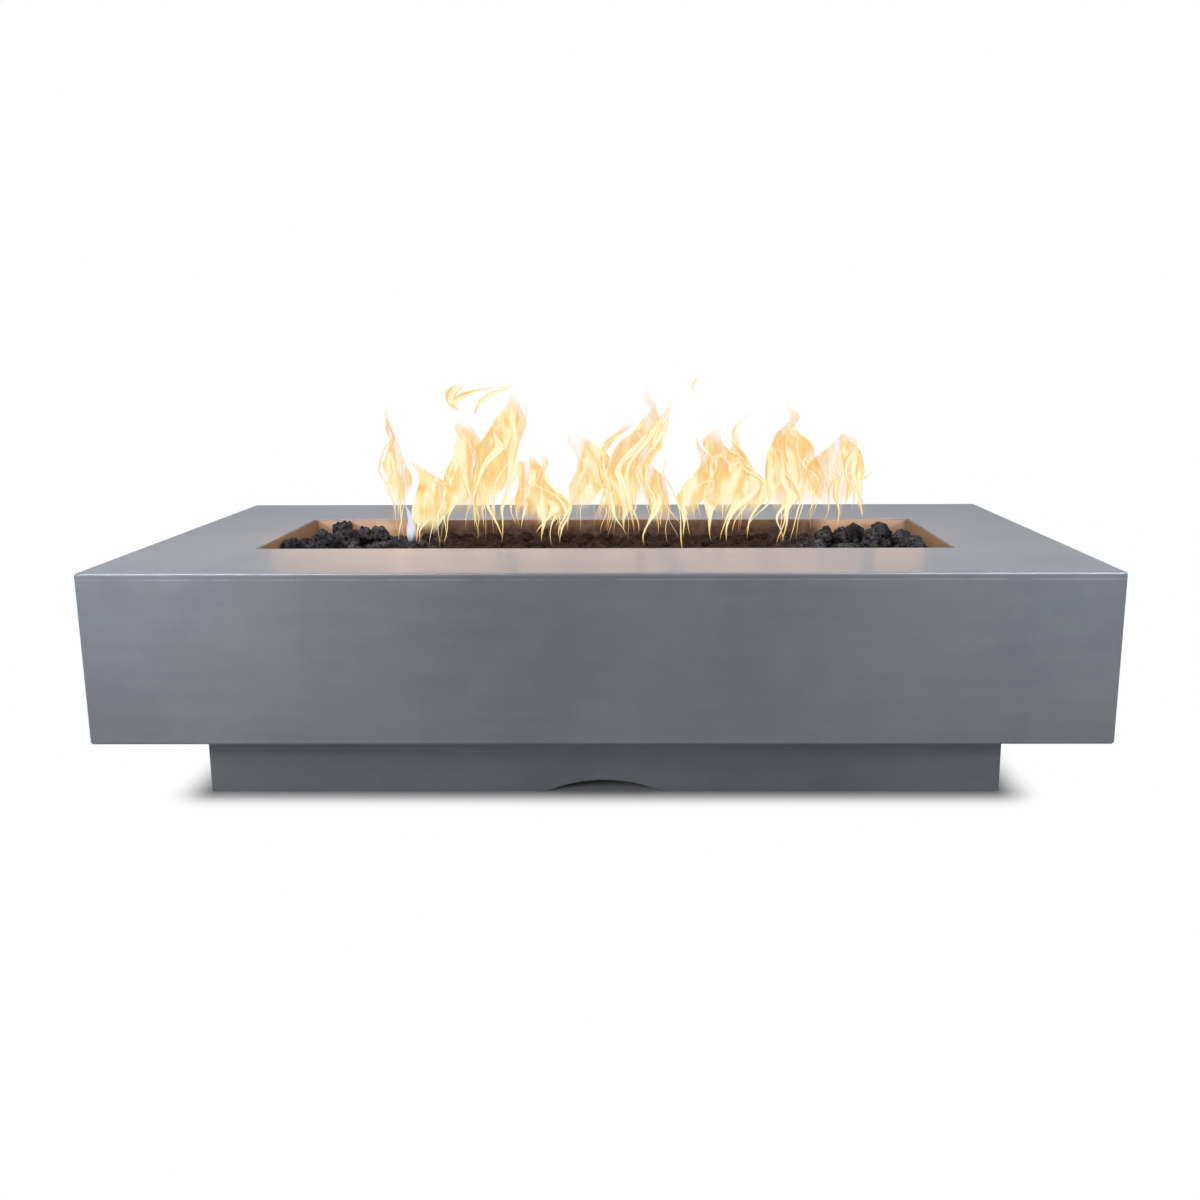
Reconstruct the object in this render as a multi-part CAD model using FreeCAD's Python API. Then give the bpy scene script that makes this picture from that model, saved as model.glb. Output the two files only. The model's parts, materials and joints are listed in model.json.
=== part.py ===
import FreeCAD, Part
import math
import os
import random

# A gas fire pit table. A cast concrete top with a deep apron stands on a recessed concrete plinth.
# A long opening in the top holds a burner pan, an H-shaped burner and a bed of lava rock.
# The gas valve and the spark button sit in a recessed panel in the right-hand end of the apron.
# Lengths are in millimetres. +Z is up, +X runs to the right along the table, -Y is the front.
# The origin is the middle of the footprint, on the ground.

V = FreeCAD.Vector
along_x = V(1, 0, 0)
along_y = V(0, 1, 0)
along_z = V(0, 0, 1)

# Table top and apron
table_length = 1524.0
table_width = 813.0
table_height = 381.0
apron_height = 259.0
slab_thickness = 25.0
apron_thickness = 19.0
corner_radius = 6.0
inner_corner_radius = 8.0
top_edge_radius = 4.0
apron_edge_radius = 4.0

# Fire opening, with its turned-down lip and the ledge that carries the burner pan
end_rim = 190.5
side_rim = 228.5
opening_corner_radius = 3.0
opening_edge_radius = 2.0
opening_depth = 75.0
lip_thickness = 15.0
ledge_thickness = 15.0
ledge_reach = 20.0

# Plinth
base_inset = 127.0
plinth_wall = 22.0
plinth_corner_radius = 4.0
plinth_edge_radius = 1.5
arch_chord = 190.0
arch_rise = 20.0
vent_length = 190.0
vent_height = 90.0
vent_corner_radius = 12.0

# Brackets, bolts and cast-in inserts between the plinth and the top
bracket_count = 3
bracket_spacing = 430.0
bracket_width = 50.0
bracket_leg = 40.0
bracket_sheet = 4.0
bracket_hole_reach = 25.0
bolt_radius = 4.0
bolt_head_flats = 13.0
bolt_head_height = 5.3
insert_radius = 6.0
insert_length = 16.0

# Liner and burner pan
liner_sheet = 1.5
liner_gap = 1.0
liner_drop = 2.0
liner_foot_width = 12.0
pan_sheet = 2.0
pan_gap = 1.5
pan_clearance = 3.0
pan_depth = 45.0
pan_corner_radius = 6.0
weep_hole_radius = 3.0
weep_hole_spacing = 240.0
weep_hole_inset = 22.0

# H burner
burner_length = 762.0
burner_spacing = 152.0
burner_lift = 26.0
pipe_radius = 12.7
pipe_wall = 1.6
port_radius = 1.3
port_pitch = 25.0
port_end_distance = 30.0
passage_radius = 9.0
cap_wall = 1.5
cap_length = 14.0
cap_end = 2.0
burner_foot_thickness = 10.0
burner_foot_width = 30.0
burner_foot_inset = 60.0
hub_radius = 17.0

# Gas path through the pan
nipple_radius = 10.65
nipple_bore_radius = 7.9
nipple_drop = 40.0
locknut_flats = 32.0
locknut_height = 7.0
mixer_radius = 15.0
mixer_length = 62.0
mixer_socket_depth = 14.0
air_window_width = 8.0
air_window_height = 22.0
elbow_size = 22.0
elbow_spigot_radius = 8.0
elbow_spigot_depth = 10.0
flare_radius = 7.0
flare_length = 8.0
flare_bore_radius = 3.5
supply_tube_radius = 6.35
supply_tube_wall = 1.15
supply_tube_lead = 190.0
supply_tube_bend = 120.0
tube_nut_flats = 19.0
tube_nut_length = 18.0

# Recessed control panel in the right-hand end
control_drop = 146.0
panel_length = 170.0
panel_height = 90.0
panel_corner_radius = 10.0
panel_depth = 40.0
panel_sheet = 1.5
panel_flange = 15.0
panel_screw_inset = 7.5
panel_screw_radius = 2.5
panel_screw_head_radius = 4.5
panel_screw_head_height = 2.7
panel_insert_radius = 4.0
panel_insert_length = 11.0
control_spread = 76.0

# Gas valve, its stem and the knob
valve_depth = 46.0
valve_width = 40.0
valve_above_stem = 18.0
valve_below_stem = 24.0
valve_outlet_drop = 11.0
valve_boss_radius = 9.0
valve_boss_length = 8.0
valve_inlet_radius = 10.0
valve_inlet_length = 10.0
valve_inlet_setback = 16.0
valve_inlet_bore_radius = 5.0
valve_screw_radius = 2.0
valve_screw_length = 12.0
valve_screw_head_radius = 3.5
valve_screw_head_height = 2.2
valve_screw_side = 13.0
valve_screw_rise = 12.0
inlet_fitting_hex = 22.0
inlet_fitting_hex_height = 8.0
inlet_thread_radius = 7.94
inlet_thread_length = 14.0
sensor_port_rise = 8.0
sensor_port_radius = 4.5
sensor_port_length = 8.0
stem_radius = 4.0
stem_reach = 22.0
stem_bite = 18.0
stem_flat_depth = 1.0
push_pin_radius = 3.6
push_pin_length = 6.0
stem_spring_length = 12.0
stem_spring_radius = 2.9
spring_wire_radius = 0.4
spring_turns = 5
knob_travel = 4.0
knob_standoff = 3.5
knob_radius = 22.0
knob_skirt_height = 6.0
knob_height = 24.0
knob_bar_width = 11.0
knob_bar_length = 38.0
knob_edge_radius = 1.5
pointer_width = 2.0
pointer_depth = 1.0

# Spark igniter with its push button
igniter_radius = 11.0
igniter_flange_radius = 14.0
igniter_flange_height = 3.0
igniter_length = 68.0
igniter_wall = 2.8
igniter_nut_flats = 27.0
igniter_nut_height = 6.0
button_pressed_stand = 3.0
button_length = 18.0
button_edge_radius = 1.5
button_travel = 4.0
button_spring_length = 12.0
button_spring_radius = 4.0
battery_radius = 5.25
battery_length = 44.5

# Spark electrode and flame sensor beside the back rail
sensor_x = 200.0
sensor_y = 45.0
sensor_spacing = 25.0
bracket_plate_sheet = 1.5
sensor_plate_length = 62.0
sensor_plate_width = 32.0
hood_height = 54.0
hood_sheet = 1.0
hood_slot_width = 3.0
hood_slot_pitch = 9.0
hood_slot_count = 5
insulator_radius = 4.0
insulator_collar_radius = 6.0
insulator_collar_height = 5.0
insulator_above = 30.0
insulator_below = 20.0
electrode_radius = 1.2
electrode_above = 46.0
electrode_below = 26.0
probe_radius = 3.0
probe_collar_radius = 5.0
probe_collar_height = 4.0
probe_above = 40.0
probe_below = 12.0
igniter_lead_radius = 1.5
sensor_lead_radius = 1.25
lead_bend = 25.0
lead_tail = 40.0
clip_inset = 217.0
clip_thickness = 5.0
clip_margin = 6.0
lead_side_offset = 16.0

# Lava rock
rock_pitch = 38.0
rock_size = 36.0
rock_gap = 0.3
rock_facets = 14
rock_bed_drop = 46.0
heap_rock_rise = 28.0
rock_crown_drop = 1.0
shortest_rock_edge = 0.3
# Rocks heaped at each end: distance from the end wall, and place from front (-1) to back (1)
left_heap = ((17.0, -0.27), (46.0, -0.30), (43.0, 0.36), (78.0, 0.17), (55.0, 0.96), (96.0, 0.27),
             (112.0, 0.56), (138.0, 0.59))
right_heap = ((42.0, -0.68), (37.0, -0.18), (42.0, 0.22), (58.0, 0.81), (90.0, 0.30), (107.0, 0.78),
              (142.0, 0.44), (170.0, 0.49))

# Fits and margins
slip_gap = 0.05
slide_gap = 0.1
hole_gap = 0.3
bed_gap = 0.5
cut_margin = 1.0
tiny = 1e-6

# Heights and reaches that follow from the sizes above
half_length = table_length / 2
opening_length = table_length - 2 * end_rim
opening_width = table_width - 2 * side_rim
control_height = table_height - control_drop
clip_x = half_length - clip_inset
apron_foot = table_height - apron_height
slab_underside = table_height - slab_thickness
ledge_top = table_height - opening_depth
ledge_foot = ledge_top - ledge_thickness
plinth_length = table_length - 2 * base_inset
plinth_width = table_width - 2 * base_inset
flange_top = ledge_top + pan_sheet
pan_floor_underside = flange_top - pan_depth
pan_floor = pan_floor_underside + pan_sheet
pan_length = opening_length - 2 * (ledge_reach + pan_clearance)
pan_width = opening_width - 2 * (ledge_reach + pan_clearance)
liner_length = opening_length - 2 * liner_gap
liner_width = opening_width - 2 * liner_gap
liner_top = table_height - liner_drop
burner_height = pan_floor + burner_lift
cap_radius = pipe_radius + cap_wall
hub_foot = pan_floor + locknut_height
nipple_top = burner_height - pipe_radius - hole_gap
nipple_foot = pan_floor_underside - nipple_drop
mixer_foot = nipple_foot + mixer_socket_depth - mixer_length
elbow_height = mixer_foot - elbow_size / 2
panel_face = half_length - panel_depth
panel_back = panel_face - panel_sheet
apron_inner_face = half_length - apron_thickness
valve_y = -control_spread / 2
igniter_y = control_spread / 2
valve_back = panel_back - valve_depth
outlet_height = control_height - valve_outlet_drop
sensor_port_height = control_height + sensor_port_rise
bed_top = table_height - rock_bed_drop


# Basic shapes

def block(x_low, x_high, y_low, y_high, z_low, z_high):
    size = V(x_high - x_low, y_high - y_low, z_high - z_low)
    return Part.makeBox(size.x, size.y, size.z, V(x_low, y_low, z_low))


def parallel_edges(shape, direction):
    found = []
    for edge in shape.Edges:
        if not isinstance(edge.Curve, Part.Line):
            continue
        heading = edge.tangentAt(edge.FirstParameter)
        if abs(heading.dot(direction)) > 1 - tiny:
            found.append(edge)
    return found


def level_edges(shape, height):
    found = []
    for edge in shape.Edges:
        box = edge.BoundBox
        if abs(box.ZMin - height) < 0.01 and abs(box.ZMax - height) < 0.01:
            found.append(edge)
    return found


def centred_block(length, width, z_low, z_high, radius=0.0):
    shape = block(-length / 2, length / 2, -width / 2, width / 2, z_low, z_high)
    if radius > 0:
        shape = shape.makeFillet(radius, parallel_edges(shape, along_z))
    return shape


def wall_window(x_low, x_high, length, height, centre_z, radius):
    shape = block(x_low, x_high, -length / 2, length / 2, centre_z - height / 2, centre_z + height / 2)
    return shape.makeFillet(radius, parallel_edges(shape, along_x))


def rod(radius, start, direction, length):
    return Part.makeCylinder(radius, length, start, direction)


def pipe(radius, bore_radius, start, direction, length):
    return rod(radius, start, direction, length).cut(rod(bore_radius, start, direction, length))


def hexagon(flats, start, direction, length):
    side = direction.cross(along_z if abs(direction.z) < 0.5 else along_x).normalize()
    up = direction.cross(side)
    reach = flats / math.sqrt(3)
    points = []
    for index in range(7):
        angle = math.radians(60 * index)
        points.append(start + side * (reach * math.cos(angle)) + up * (reach * math.sin(angle)))
    return Part.Face(Part.makePolygon(points)).extrude(direction * length)


def fuse_all(first, others):
    return first.multiFuse(others).removeSplitter()


# Bent tubes

def route_wire(points, bend_radius):
    # Straight runs joined by tangent arcs. An arc never takes more than 0.45 of its shorter run.
    edges = []
    start = points[0]
    for before, corner, after in zip(points, points[1:], points[2:]):
        into = (corner - before).normalize()
        out = (after - corner).normalize()
        half_turn = into.getAngle(out) / 2
        shorter = min((corner - before).Length, (after - corner).Length)
        radius = min(bend_radius, 0.45 * shorter / math.tan(half_turn))
        tangent = radius * math.tan(half_turn)
        first = corner - into * tangent
        last = corner + out * tangent
        to_centre = (out - into).normalize()
        middle = corner + to_centre * (radius / math.cos(half_turn) - radius)
        edges.append(Part.LineSegment(start, first).toShape())
        edges.append(Part.Arc(first, middle, last).toShape())
        start = last
    edges.append(Part.LineSegment(start, points[-1]).toShape())
    return Part.Wire(edges)


def swept_rod(points, radius, bend_radius):
    wire = route_wire(points, bend_radius)
    circle = Part.Wire(Part.Circle(points[0], points[1] - points[0], radius).toShape())
    return wire.makePipeShell([circle], True, True)


def coil(radius, wire_radius, start, direction, length, turns):
    # One unbroken wire along a helix of half-turn arcs.
    side = direction.cross(along_z).normalize()
    up = direction.cross(side)
    climb = length - 2 * wire_radius

    def helix_point(turn):
        angle = 2 * math.pi * turn
        rise = direction * (wire_radius + climb * turn / turns)
        return start + rise + side * (radius * math.cos(angle)) + up * (radius * math.sin(angle))

    edges = []
    for half in range(2 * turns):
        low = helix_point(half / 2)
        middle = helix_point(half / 2 + 0.25)
        high = helix_point(half / 2 + 0.5)
        edges.append(Part.Arc(low, middle, high).toShape())
    first = edges[0]
    heading = first.tangentAt(first.FirstParameter)
    circle = Part.Wire(Part.Circle(helix_point(0), heading, wire_radius).toShape())
    return Part.Wire(edges).makePipeShell([circle], True, True)


# Concrete castings

def bracket_places():
    places = []
    for side in (-1, 1):
        for index in range(bracket_count):
            places.append((side, (index - (bracket_count - 1) / 2) * bracket_spacing))
    return places


plinth_inner_face = plinth_width / 2 - plinth_wall


def slab_insert_start(side, x):
    return V(x, side * (plinth_inner_face - bracket_hole_reach), slab_underside)


def wall_insert_start(side, x):
    return V(x, side * plinth_inner_face, slab_underside - bracket_hole_reach)


def panel_screw_places():
    reach_y = panel_length / 2 + panel_flange - panel_screw_inset
    reach_z = panel_height / 2 + panel_flange - panel_screw_inset
    places = []
    for y in (-reach_y, reach_y):
        for z in (control_height - reach_z, control_height + reach_z):
            places.append((y, z))
    return places


def make_tabletop_shell():
    casting = centred_block(table_length, table_width, apron_foot, table_height, corner_radius)
    casting = casting.makeFillet(top_edge_radius, level_edges(casting, table_height))
    casting = casting.makeFillet(apron_edge_radius, level_edges(casting, apron_foot))
    inner_length = table_length - 2 * apron_thickness
    inner_width = table_width - 2 * apron_thickness
    hollow_foot = apron_foot - cut_margin
    hollow = centred_block(inner_length, inner_width, hollow_foot, slab_underside, inner_corner_radius)
    casting = casting.cut(hollow)
    lip_length = opening_length + 2 * lip_thickness
    lip_width = opening_width + 2 * lip_thickness
    lip = centred_block(lip_length, lip_width, ledge_foot, slab_underside, inner_corner_radius)
    casting = fuse_all(casting, [lip])
    well = centred_block(
        opening_length, opening_width, ledge_top, table_height + cut_margin, opening_corner_radius
    )
    hatch_length = opening_length - 2 * ledge_reach
    hatch_width = opening_width - 2 * ledge_reach
    hatch = centred_block(
        hatch_length, hatch_width, ledge_foot - cut_margin, ledge_top + cut_margin, pan_corner_radius
    )
    casting = casting.cut(well).cut(hatch)
    rim = []
    for edge in level_edges(casting, table_height):
        box = edge.BoundBox
        inside_x = max(abs(box.XMin), abs(box.XMax)) < opening_length / 2 + cut_margin
        inside_y = max(abs(box.YMin), abs(box.YMax)) < opening_width / 2 + cut_margin
        if inside_x and inside_y:
            rim.append(edge)
    casting = casting.makeFillet(opening_edge_radius, rim)
    window = wall_window(
        apron_inner_face - cut_margin, half_length + cut_margin,
        panel_length, panel_height, control_height, panel_corner_radius,
    )
    holes = []
    for side, x in bracket_places():
        start = slab_insert_start(side, x)
        holes.append(rod(insert_radius + slip_gap, start, along_z, insert_length + slip_gap))
    for y, z in panel_screw_places():
        start = V(apron_inner_face, y, z)
        holes.append(rod(panel_insert_radius + slip_gap, start, along_x, panel_insert_length + slip_gap))
    return casting.cut(window).cut(Part.makeCompound(holes))


def make_base_plinth():
    casting = centred_block(plinth_length, plinth_width, 0, slab_underside, plinth_corner_radius)
    casting = casting.makeFillet(plinth_edge_radius, level_edges(casting, 0))
    inner_length = plinth_length - 2 * plinth_wall
    inner_width = plinth_width - 2 * plinth_wall
    hollow_top = slab_underside + cut_margin
    hollow = centred_block(inner_length, inner_width, -cut_margin, hollow_top, inner_corner_radius)
    casting = casting.cut(hollow)
    # The arches in the front and back walls are one circular arc each.
    arch_radius = (arch_chord ** 2 / 4 + arch_rise ** 2) / (2 * arch_rise)
    arch_start = V(0, -plinth_width, arch_rise - arch_radius)
    arch = rod(arch_radius, arch_start, along_y, 2 * plinth_width)
    vent = wall_window(
        -plinth_length, plinth_length, vent_length, vent_height, control_height, vent_corner_radius
    )
    holes = []
    for side, x in bracket_places():
        start = wall_insert_start(side, x)
        holes.append(rod(insert_radius + slip_gap, start, along_y * side, insert_length + slip_gap))
    return casting.cut(arch).cut(vent).cut(Part.makeCompound(holes))


# What holds the top on the plinth

def make_mounting_brackets():
    brackets = []
    for side, x in bracket_places():
        outward = along_y * side
        wall_y = side * plinth_inner_face
        leg_y = side * (plinth_inner_face - bracket_leg)
        sheet_y = side * (plinth_inner_face - bracket_sheet)
        low_x = x - bracket_width / 2
        high_x = x + bracket_width / 2
        flat_foot = slab_underside - bracket_sheet
        flat = block(low_x, high_x, min(wall_y, leg_y), max(wall_y, leg_y), flat_foot, slab_underside)
        leg_foot = slab_underside - bracket_leg
        leg = block(low_x, high_x, min(wall_y, sheet_y), max(wall_y, sheet_y), leg_foot, slab_underside)
        bracket = fuse_all(flat, [leg])
        hole_radius = bolt_radius + hole_gap
        slab_start = slab_insert_start(side, x) - along_z * bracket_leg
        wall_start = wall_insert_start(side, x) - outward * bracket_leg
        holes = [
            rod(hole_radius, slab_start, along_z, 2 * bracket_leg),
            rod(hole_radius, wall_start, outward, 2 * bracket_leg),
        ]
        brackets.append(bracket.cut(Part.makeCompound(holes)))
    return Part.makeCompound(brackets)


def make_bolt(seat, direction, reach):
    head = hexagon(bolt_head_flats, seat - direction * bolt_head_height, direction, bolt_head_height)
    return fuse_all(head, [rod(bolt_radius, seat - direction * cut_margin, direction, reach + cut_margin)])


def make_bracket_bolts():
    bolts = []
    reach = bracket_sheet + insert_length - cut_margin
    for side, x in bracket_places():
        inward = along_y * side
        bolts.append(make_bolt(slab_insert_start(side, x) - along_z * bracket_sheet, along_z, reach))
        bolts.append(make_bolt(wall_insert_start(side, x) - inward * bracket_sheet, inward, reach))
    return Part.makeCompound(bolts)


def make_threaded_inserts():
    inserts = []
    bore = bolt_radius + slip_gap
    for side, x in bracket_places():
        inserts.append(pipe(insert_radius, bore, slab_insert_start(side, x), along_z, insert_length))
        inserts.append(pipe(insert_radius, bore, wall_insert_start(side, x), along_y * side, insert_length))
    return Part.makeCompound(inserts)


# Liner and burner pan

def make_fire_opening_liner():
    inner_length = liner_length - 2 * liner_sheet
    inner_width = liner_width - 2 * liner_sheet
    frame = centred_block(liner_length, liner_width, flange_top, liner_top)
    frame = frame.cut(
        centred_block(inner_length, inner_width, flange_top + liner_sheet, liner_top + cut_margin)
    )
    hatch_length = liner_length - 2 * liner_foot_width
    hatch_width = liner_width - 2 * liner_foot_width
    hatch = centred_block(
        hatch_length, hatch_width, flange_top - cut_margin, flange_top + liner_sheet + cut_margin
    )
    return frame.cut(hatch)


def sensor_places():
    return (sensor_x, sensor_x + sensor_spacing)


def make_burner_pan():
    flange_length = opening_length - 2 * pan_gap
    flange_width = opening_width - 2 * pan_gap
    flange = centred_block(flange_length, flange_width, ledge_top, flange_top, opening_corner_radius)
    tray = centred_block(pan_length, pan_width, pan_floor_underside, flange_top, pan_corner_radius)
    hollow = centred_block(
        pan_length - 2 * pan_sheet, pan_width - 2 * pan_sheet,
        pan_floor, flange_top + cut_margin, pan_corner_radius - pan_sheet,
    )
    pan = fuse_all(flange, [tray]).cut(hollow)
    below = pan_floor_underside - cut_margin
    depth = pan_sheet + 2 * cut_margin
    electrode_x, probe_x = sensor_places()
    holes = [
        rod(nipple_radius + hole_gap, V(0, 0, below), along_z, depth),
        rod(insulator_radius + hole_gap, V(electrode_x, sensor_y, below), along_z, depth),
        rod(probe_radius + hole_gap, V(probe_x, sensor_y, below), along_z, depth),
    ]
    columns = int((pan_length - 4 * weep_hole_inset) / weep_hole_spacing) + 1
    weep_y = pan_width / 2 - weep_hole_inset
    for index in range(columns):
        x = (index - (columns - 1) / 2) * weep_hole_spacing
        for y in (-weep_y, weep_y):
            holes.append(rod(weep_hole_radius, V(x, y, below), along_z, depth))
    return pan.cut(Part.makeCompound(holes))


# H burner

def rail_start(y):
    return V(-burner_length / 2, y, burner_height)


def make_burner_rail(side):
    y = side * burner_spacing / 2
    rail = pipe(pipe_radius, pipe_radius - pipe_wall, rail_start(y), along_x, burner_length)
    holes = [rod(passage_radius, V(0, y, burner_height), along_y * -side, pipe_radius + cut_margin)]
    ports = int((burner_length - 2 * port_end_distance) / port_pitch) + 1
    for index in range(ports):
        x = (index - (ports - 1) / 2) * port_pitch
        holes.append(rod(port_radius, V(x, y, burner_height), along_z, pipe_radius + cut_margin))
    return rail.cut(Part.makeCompound(holes))


def make_burner_crossbar():
    start = V(0, -burner_spacing / 2, burner_height)
    bar = pipe(pipe_radius, pipe_radius - pipe_wall, start, along_y, burner_spacing)
    for side in (-1, 1):
        saddle = rod(pipe_radius + slip_gap, rail_start(side * burner_spacing / 2), along_x, burner_length)
        bar = bar.cut(saddle)
    return bar.cut(rod(nipple_bore_radius, V(0, 0, burner_height), -along_z, pipe_radius + cut_margin))


def make_burner_hub():
    hub = rod(hub_radius, V(0, 0, hub_foot), along_z, burner_height - hub_foot)
    saddle_start = V(0, -burner_spacing / 2, burner_height)
    saddle = rod(pipe_radius + slip_gap, saddle_start, along_y, burner_spacing)
    socket = rod(nipple_radius + slip_gap, V(0, 0, hub_foot), along_z, nipple_top - hub_foot)
    passage = rod(nipple_bore_radius, V(0, 0, hub_foot), along_z, burner_lift)
    return hub.cut(saddle).cut(socket).cut(passage)


def make_burner_end_caps():
    caps = []
    for side in (-1, 1):
        y = side * burner_spacing / 2
        for end in (-1, 1):
            outward = along_x * end
            mouth = V(end * (burner_length / 2 - cap_length + cap_end), y, burner_height)
            cap = rod(cap_radius, mouth, outward, cap_length)
            cap = cap.makeFillet(cap_wall, [far_edge(cap, outward)])
            caps.append(cap.cut(rod(pipe_radius + slip_gap, mouth, outward, cap_length - cap_end)))
    return Part.makeCompound(caps)


def far_edge(shape, direction):
    round_edges = [edge for edge in shape.Edges if isinstance(edge.Curve, Part.Circle)]
    return max(round_edges, key=lambda edge: edge.Curve.Center.dot(direction))


def burner_foot_places():
    reach = burner_length / 2 - burner_foot_inset
    return [(x, y) for x in (-reach, reach) for y in (-burner_spacing / 2, burner_spacing / 2)]


def make_burner_feet():
    feet = []
    for x, y in burner_foot_places():
        foot = block(
            x - burner_foot_thickness / 2, x + burner_foot_thickness / 2,
            y - burner_foot_width / 2, y + burner_foot_width / 2, pan_floor, burner_height,
        )
        feet.append(foot.cut(rod(pipe_radius + slip_gap, rail_start(y), along_x, burner_length)))
    return Part.makeCompound(feet)


# Gas path through the pan

def make_inlet_nipple():
    start = V(0, 0, nipple_foot)
    return pipe(nipple_radius, nipple_bore_radius, start, along_z, nipple_top - nipple_foot)


def make_pan_locknuts():
    nuts = []
    for foot in (pan_floor, pan_floor_underside - locknut_height):
        nut = hexagon(locknut_flats, V(0, 0, foot), along_z, locknut_height)
        nuts.append(nut.cut(rod(nipple_radius + slip_gap, V(0, 0, foot), along_z, locknut_height)))
    return Part.makeCompound(nuts)


def make_air_mixer():
    top = mixer_foot + mixer_length
    mixer = rod(mixer_radius, V(0, 0, mixer_foot), along_z, mixer_length)
    socket = rod(nipple_radius + slip_gap, V(0, 0, nipple_foot), along_z, top - nipple_foot)
    throat = rod(nipple_bore_radius, V(0, 0, mixer_foot), along_z, mixer_length)
    spigot_hole = rod(elbow_spigot_radius + slip_gap, V(0, 0, mixer_foot), along_z, elbow_spigot_depth)
    mixer = mixer.cut(socket).cut(throat).cut(spigot_hole)
    middle = (mixer_foot + elbow_spigot_depth + nipple_foot) / 2
    half_window = air_window_width / 2
    low = middle - air_window_height / 2
    high = middle + air_window_height / 2
    window_x = block(-2 * mixer_radius, 2 * mixer_radius, -half_window, half_window, low, high)
    window_y = block(-half_window, half_window, -2 * mixer_radius, 2 * mixer_radius, low, high)
    return mixer.cut(window_x).cut(window_y)


def make_inlet_elbow():
    half = elbow_size / 2
    centre = V(0, 0, elbow_height)
    body = block(-half, half, -half, half, elbow_height - half, elbow_height + half)
    body = body.makeChamfer(elbow_size / 8, parallel_edges(body, along_y))
    spigot = rod(elbow_spigot_radius, centre, along_z, half + elbow_spigot_depth)
    flare = rod(flare_radius, centre, along_x, half + flare_length)
    elbow = fuse_all(body, [spigot, flare])
    way_up = rod(flare_bore_radius, centre, along_z, elbow_size + elbow_spigot_depth)
    way_out = rod(flare_bore_radius, centre, along_x, elbow_size + flare_length)
    return elbow.cut(way_up).cut(way_out)


elbow_flare_end = V(elbow_size / 2 + flare_length, 0, elbow_height)
outlet_flare_end = V(valve_back - valve_boss_length - flare_length, valve_y, outlet_height)


def make_supply_tube():
    points = [
        elbow_flare_end,
        elbow_flare_end + along_x * supply_tube_lead,
        outlet_flare_end - along_x * supply_tube_lead,
        outlet_flare_end,
    ]
    outside = swept_rod(points, supply_tube_radius, supply_tube_bend)
    inside = swept_rod(points, supply_tube_radius - supply_tube_wall, supply_tube_bend)
    return outside.cut(inside)


def make_tube_nut(flare_end, direction):
    # The nut covers the flare's thread and a length of the tube.
    start = flare_end - direction * (flare_length - cut_margin)
    nut = hexagon(tube_nut_flats, start, direction, tube_nut_length)
    thread = rod(flare_radius + slip_gap, start, direction, flare_length - cut_margin)
    tube_hole = rod(supply_tube_radius + slip_gap, start, direction, tube_nut_length)
    return nut.cut(thread).cut(tube_hole)


def make_supply_tube_nuts():
    return Part.makeCompound([
        make_tube_nut(elbow_flare_end, along_x),
        make_tube_nut(outlet_flare_end, -along_x),
    ])


# Recessed control panel

def make_control_box():
    flange_length = panel_length + 2 * panel_flange
    flange_height = panel_height + 2 * panel_flange
    outer_length = panel_length + 2 * panel_sheet
    outer_height = panel_height + 2 * panel_sheet
    flange = wall_window(
        apron_inner_face - panel_sheet, apron_inner_face,
        flange_length, flange_height, control_height, panel_corner_radius,
    )
    cup = wall_window(
        panel_back, apron_inner_face, outer_length, outer_height, control_height, panel_corner_radius
    )
    hollow = wall_window(
        panel_face, apron_inner_face + cut_margin,
        panel_length, panel_height, control_height, panel_corner_radius,
    )
    box = fuse_all(flange, [cup]).cut(hollow)
    behind = panel_back - cut_margin
    depth = panel_sheet + 2 * cut_margin
    holes = [
        rod(stem_radius + hole_gap, V(behind, valve_y, control_height), along_x, depth),
        rod(igniter_radius + hole_gap, V(behind, igniter_y, control_height), along_x, depth),
    ]
    for y, z in valve_screw_places():
        holes.append(rod(valve_screw_radius + hole_gap, V(behind, y, z), along_x, depth))
    for y, z in panel_screw_places():
        start = V(apron_inner_face - panel_sheet - cut_margin, y, z)
        holes.append(rod(panel_screw_radius + hole_gap, start, along_x, depth))
    return box.cut(Part.makeCompound(holes))


def make_control_box_screws():
    screws = []
    for y, z in panel_screw_places():
        seat = V(apron_inner_face - panel_sheet, y, z)
        head = rod(panel_screw_head_radius, seat, -along_x, panel_screw_head_height)
        head = head.makeFillet(panel_screw_head_height / 2, [far_edge(head, -along_x)])
        shank = rod(panel_screw_radius, seat, along_x, panel_sheet + panel_insert_length - cut_margin)
        screws.append(fuse_all(head, [shank]))
    return Part.makeCompound(screws)


def make_control_box_inserts():
    inserts = []
    for y, z in panel_screw_places():
        start = V(apron_inner_face, y, z)
        bore = panel_screw_radius + slip_gap
        inserts.append(pipe(panel_insert_radius, bore, start, along_x, panel_insert_length))
    return Part.makeCompound(inserts)


# Gas valve

def valve_screw_places():
    z = control_height + valve_screw_rise
    return [(valve_y - valve_screw_side, z), (valve_y + valve_screw_side, z)]


stem_inner_end = panel_back - stem_reach
stem_bore_end = stem_inner_end - push_pin_length - stem_spring_length
valve_inlet_x = panel_back - valve_inlet_setback
valve_foot = control_height - valve_below_stem
inlet_boss_foot = valve_foot - valve_inlet_length


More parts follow.
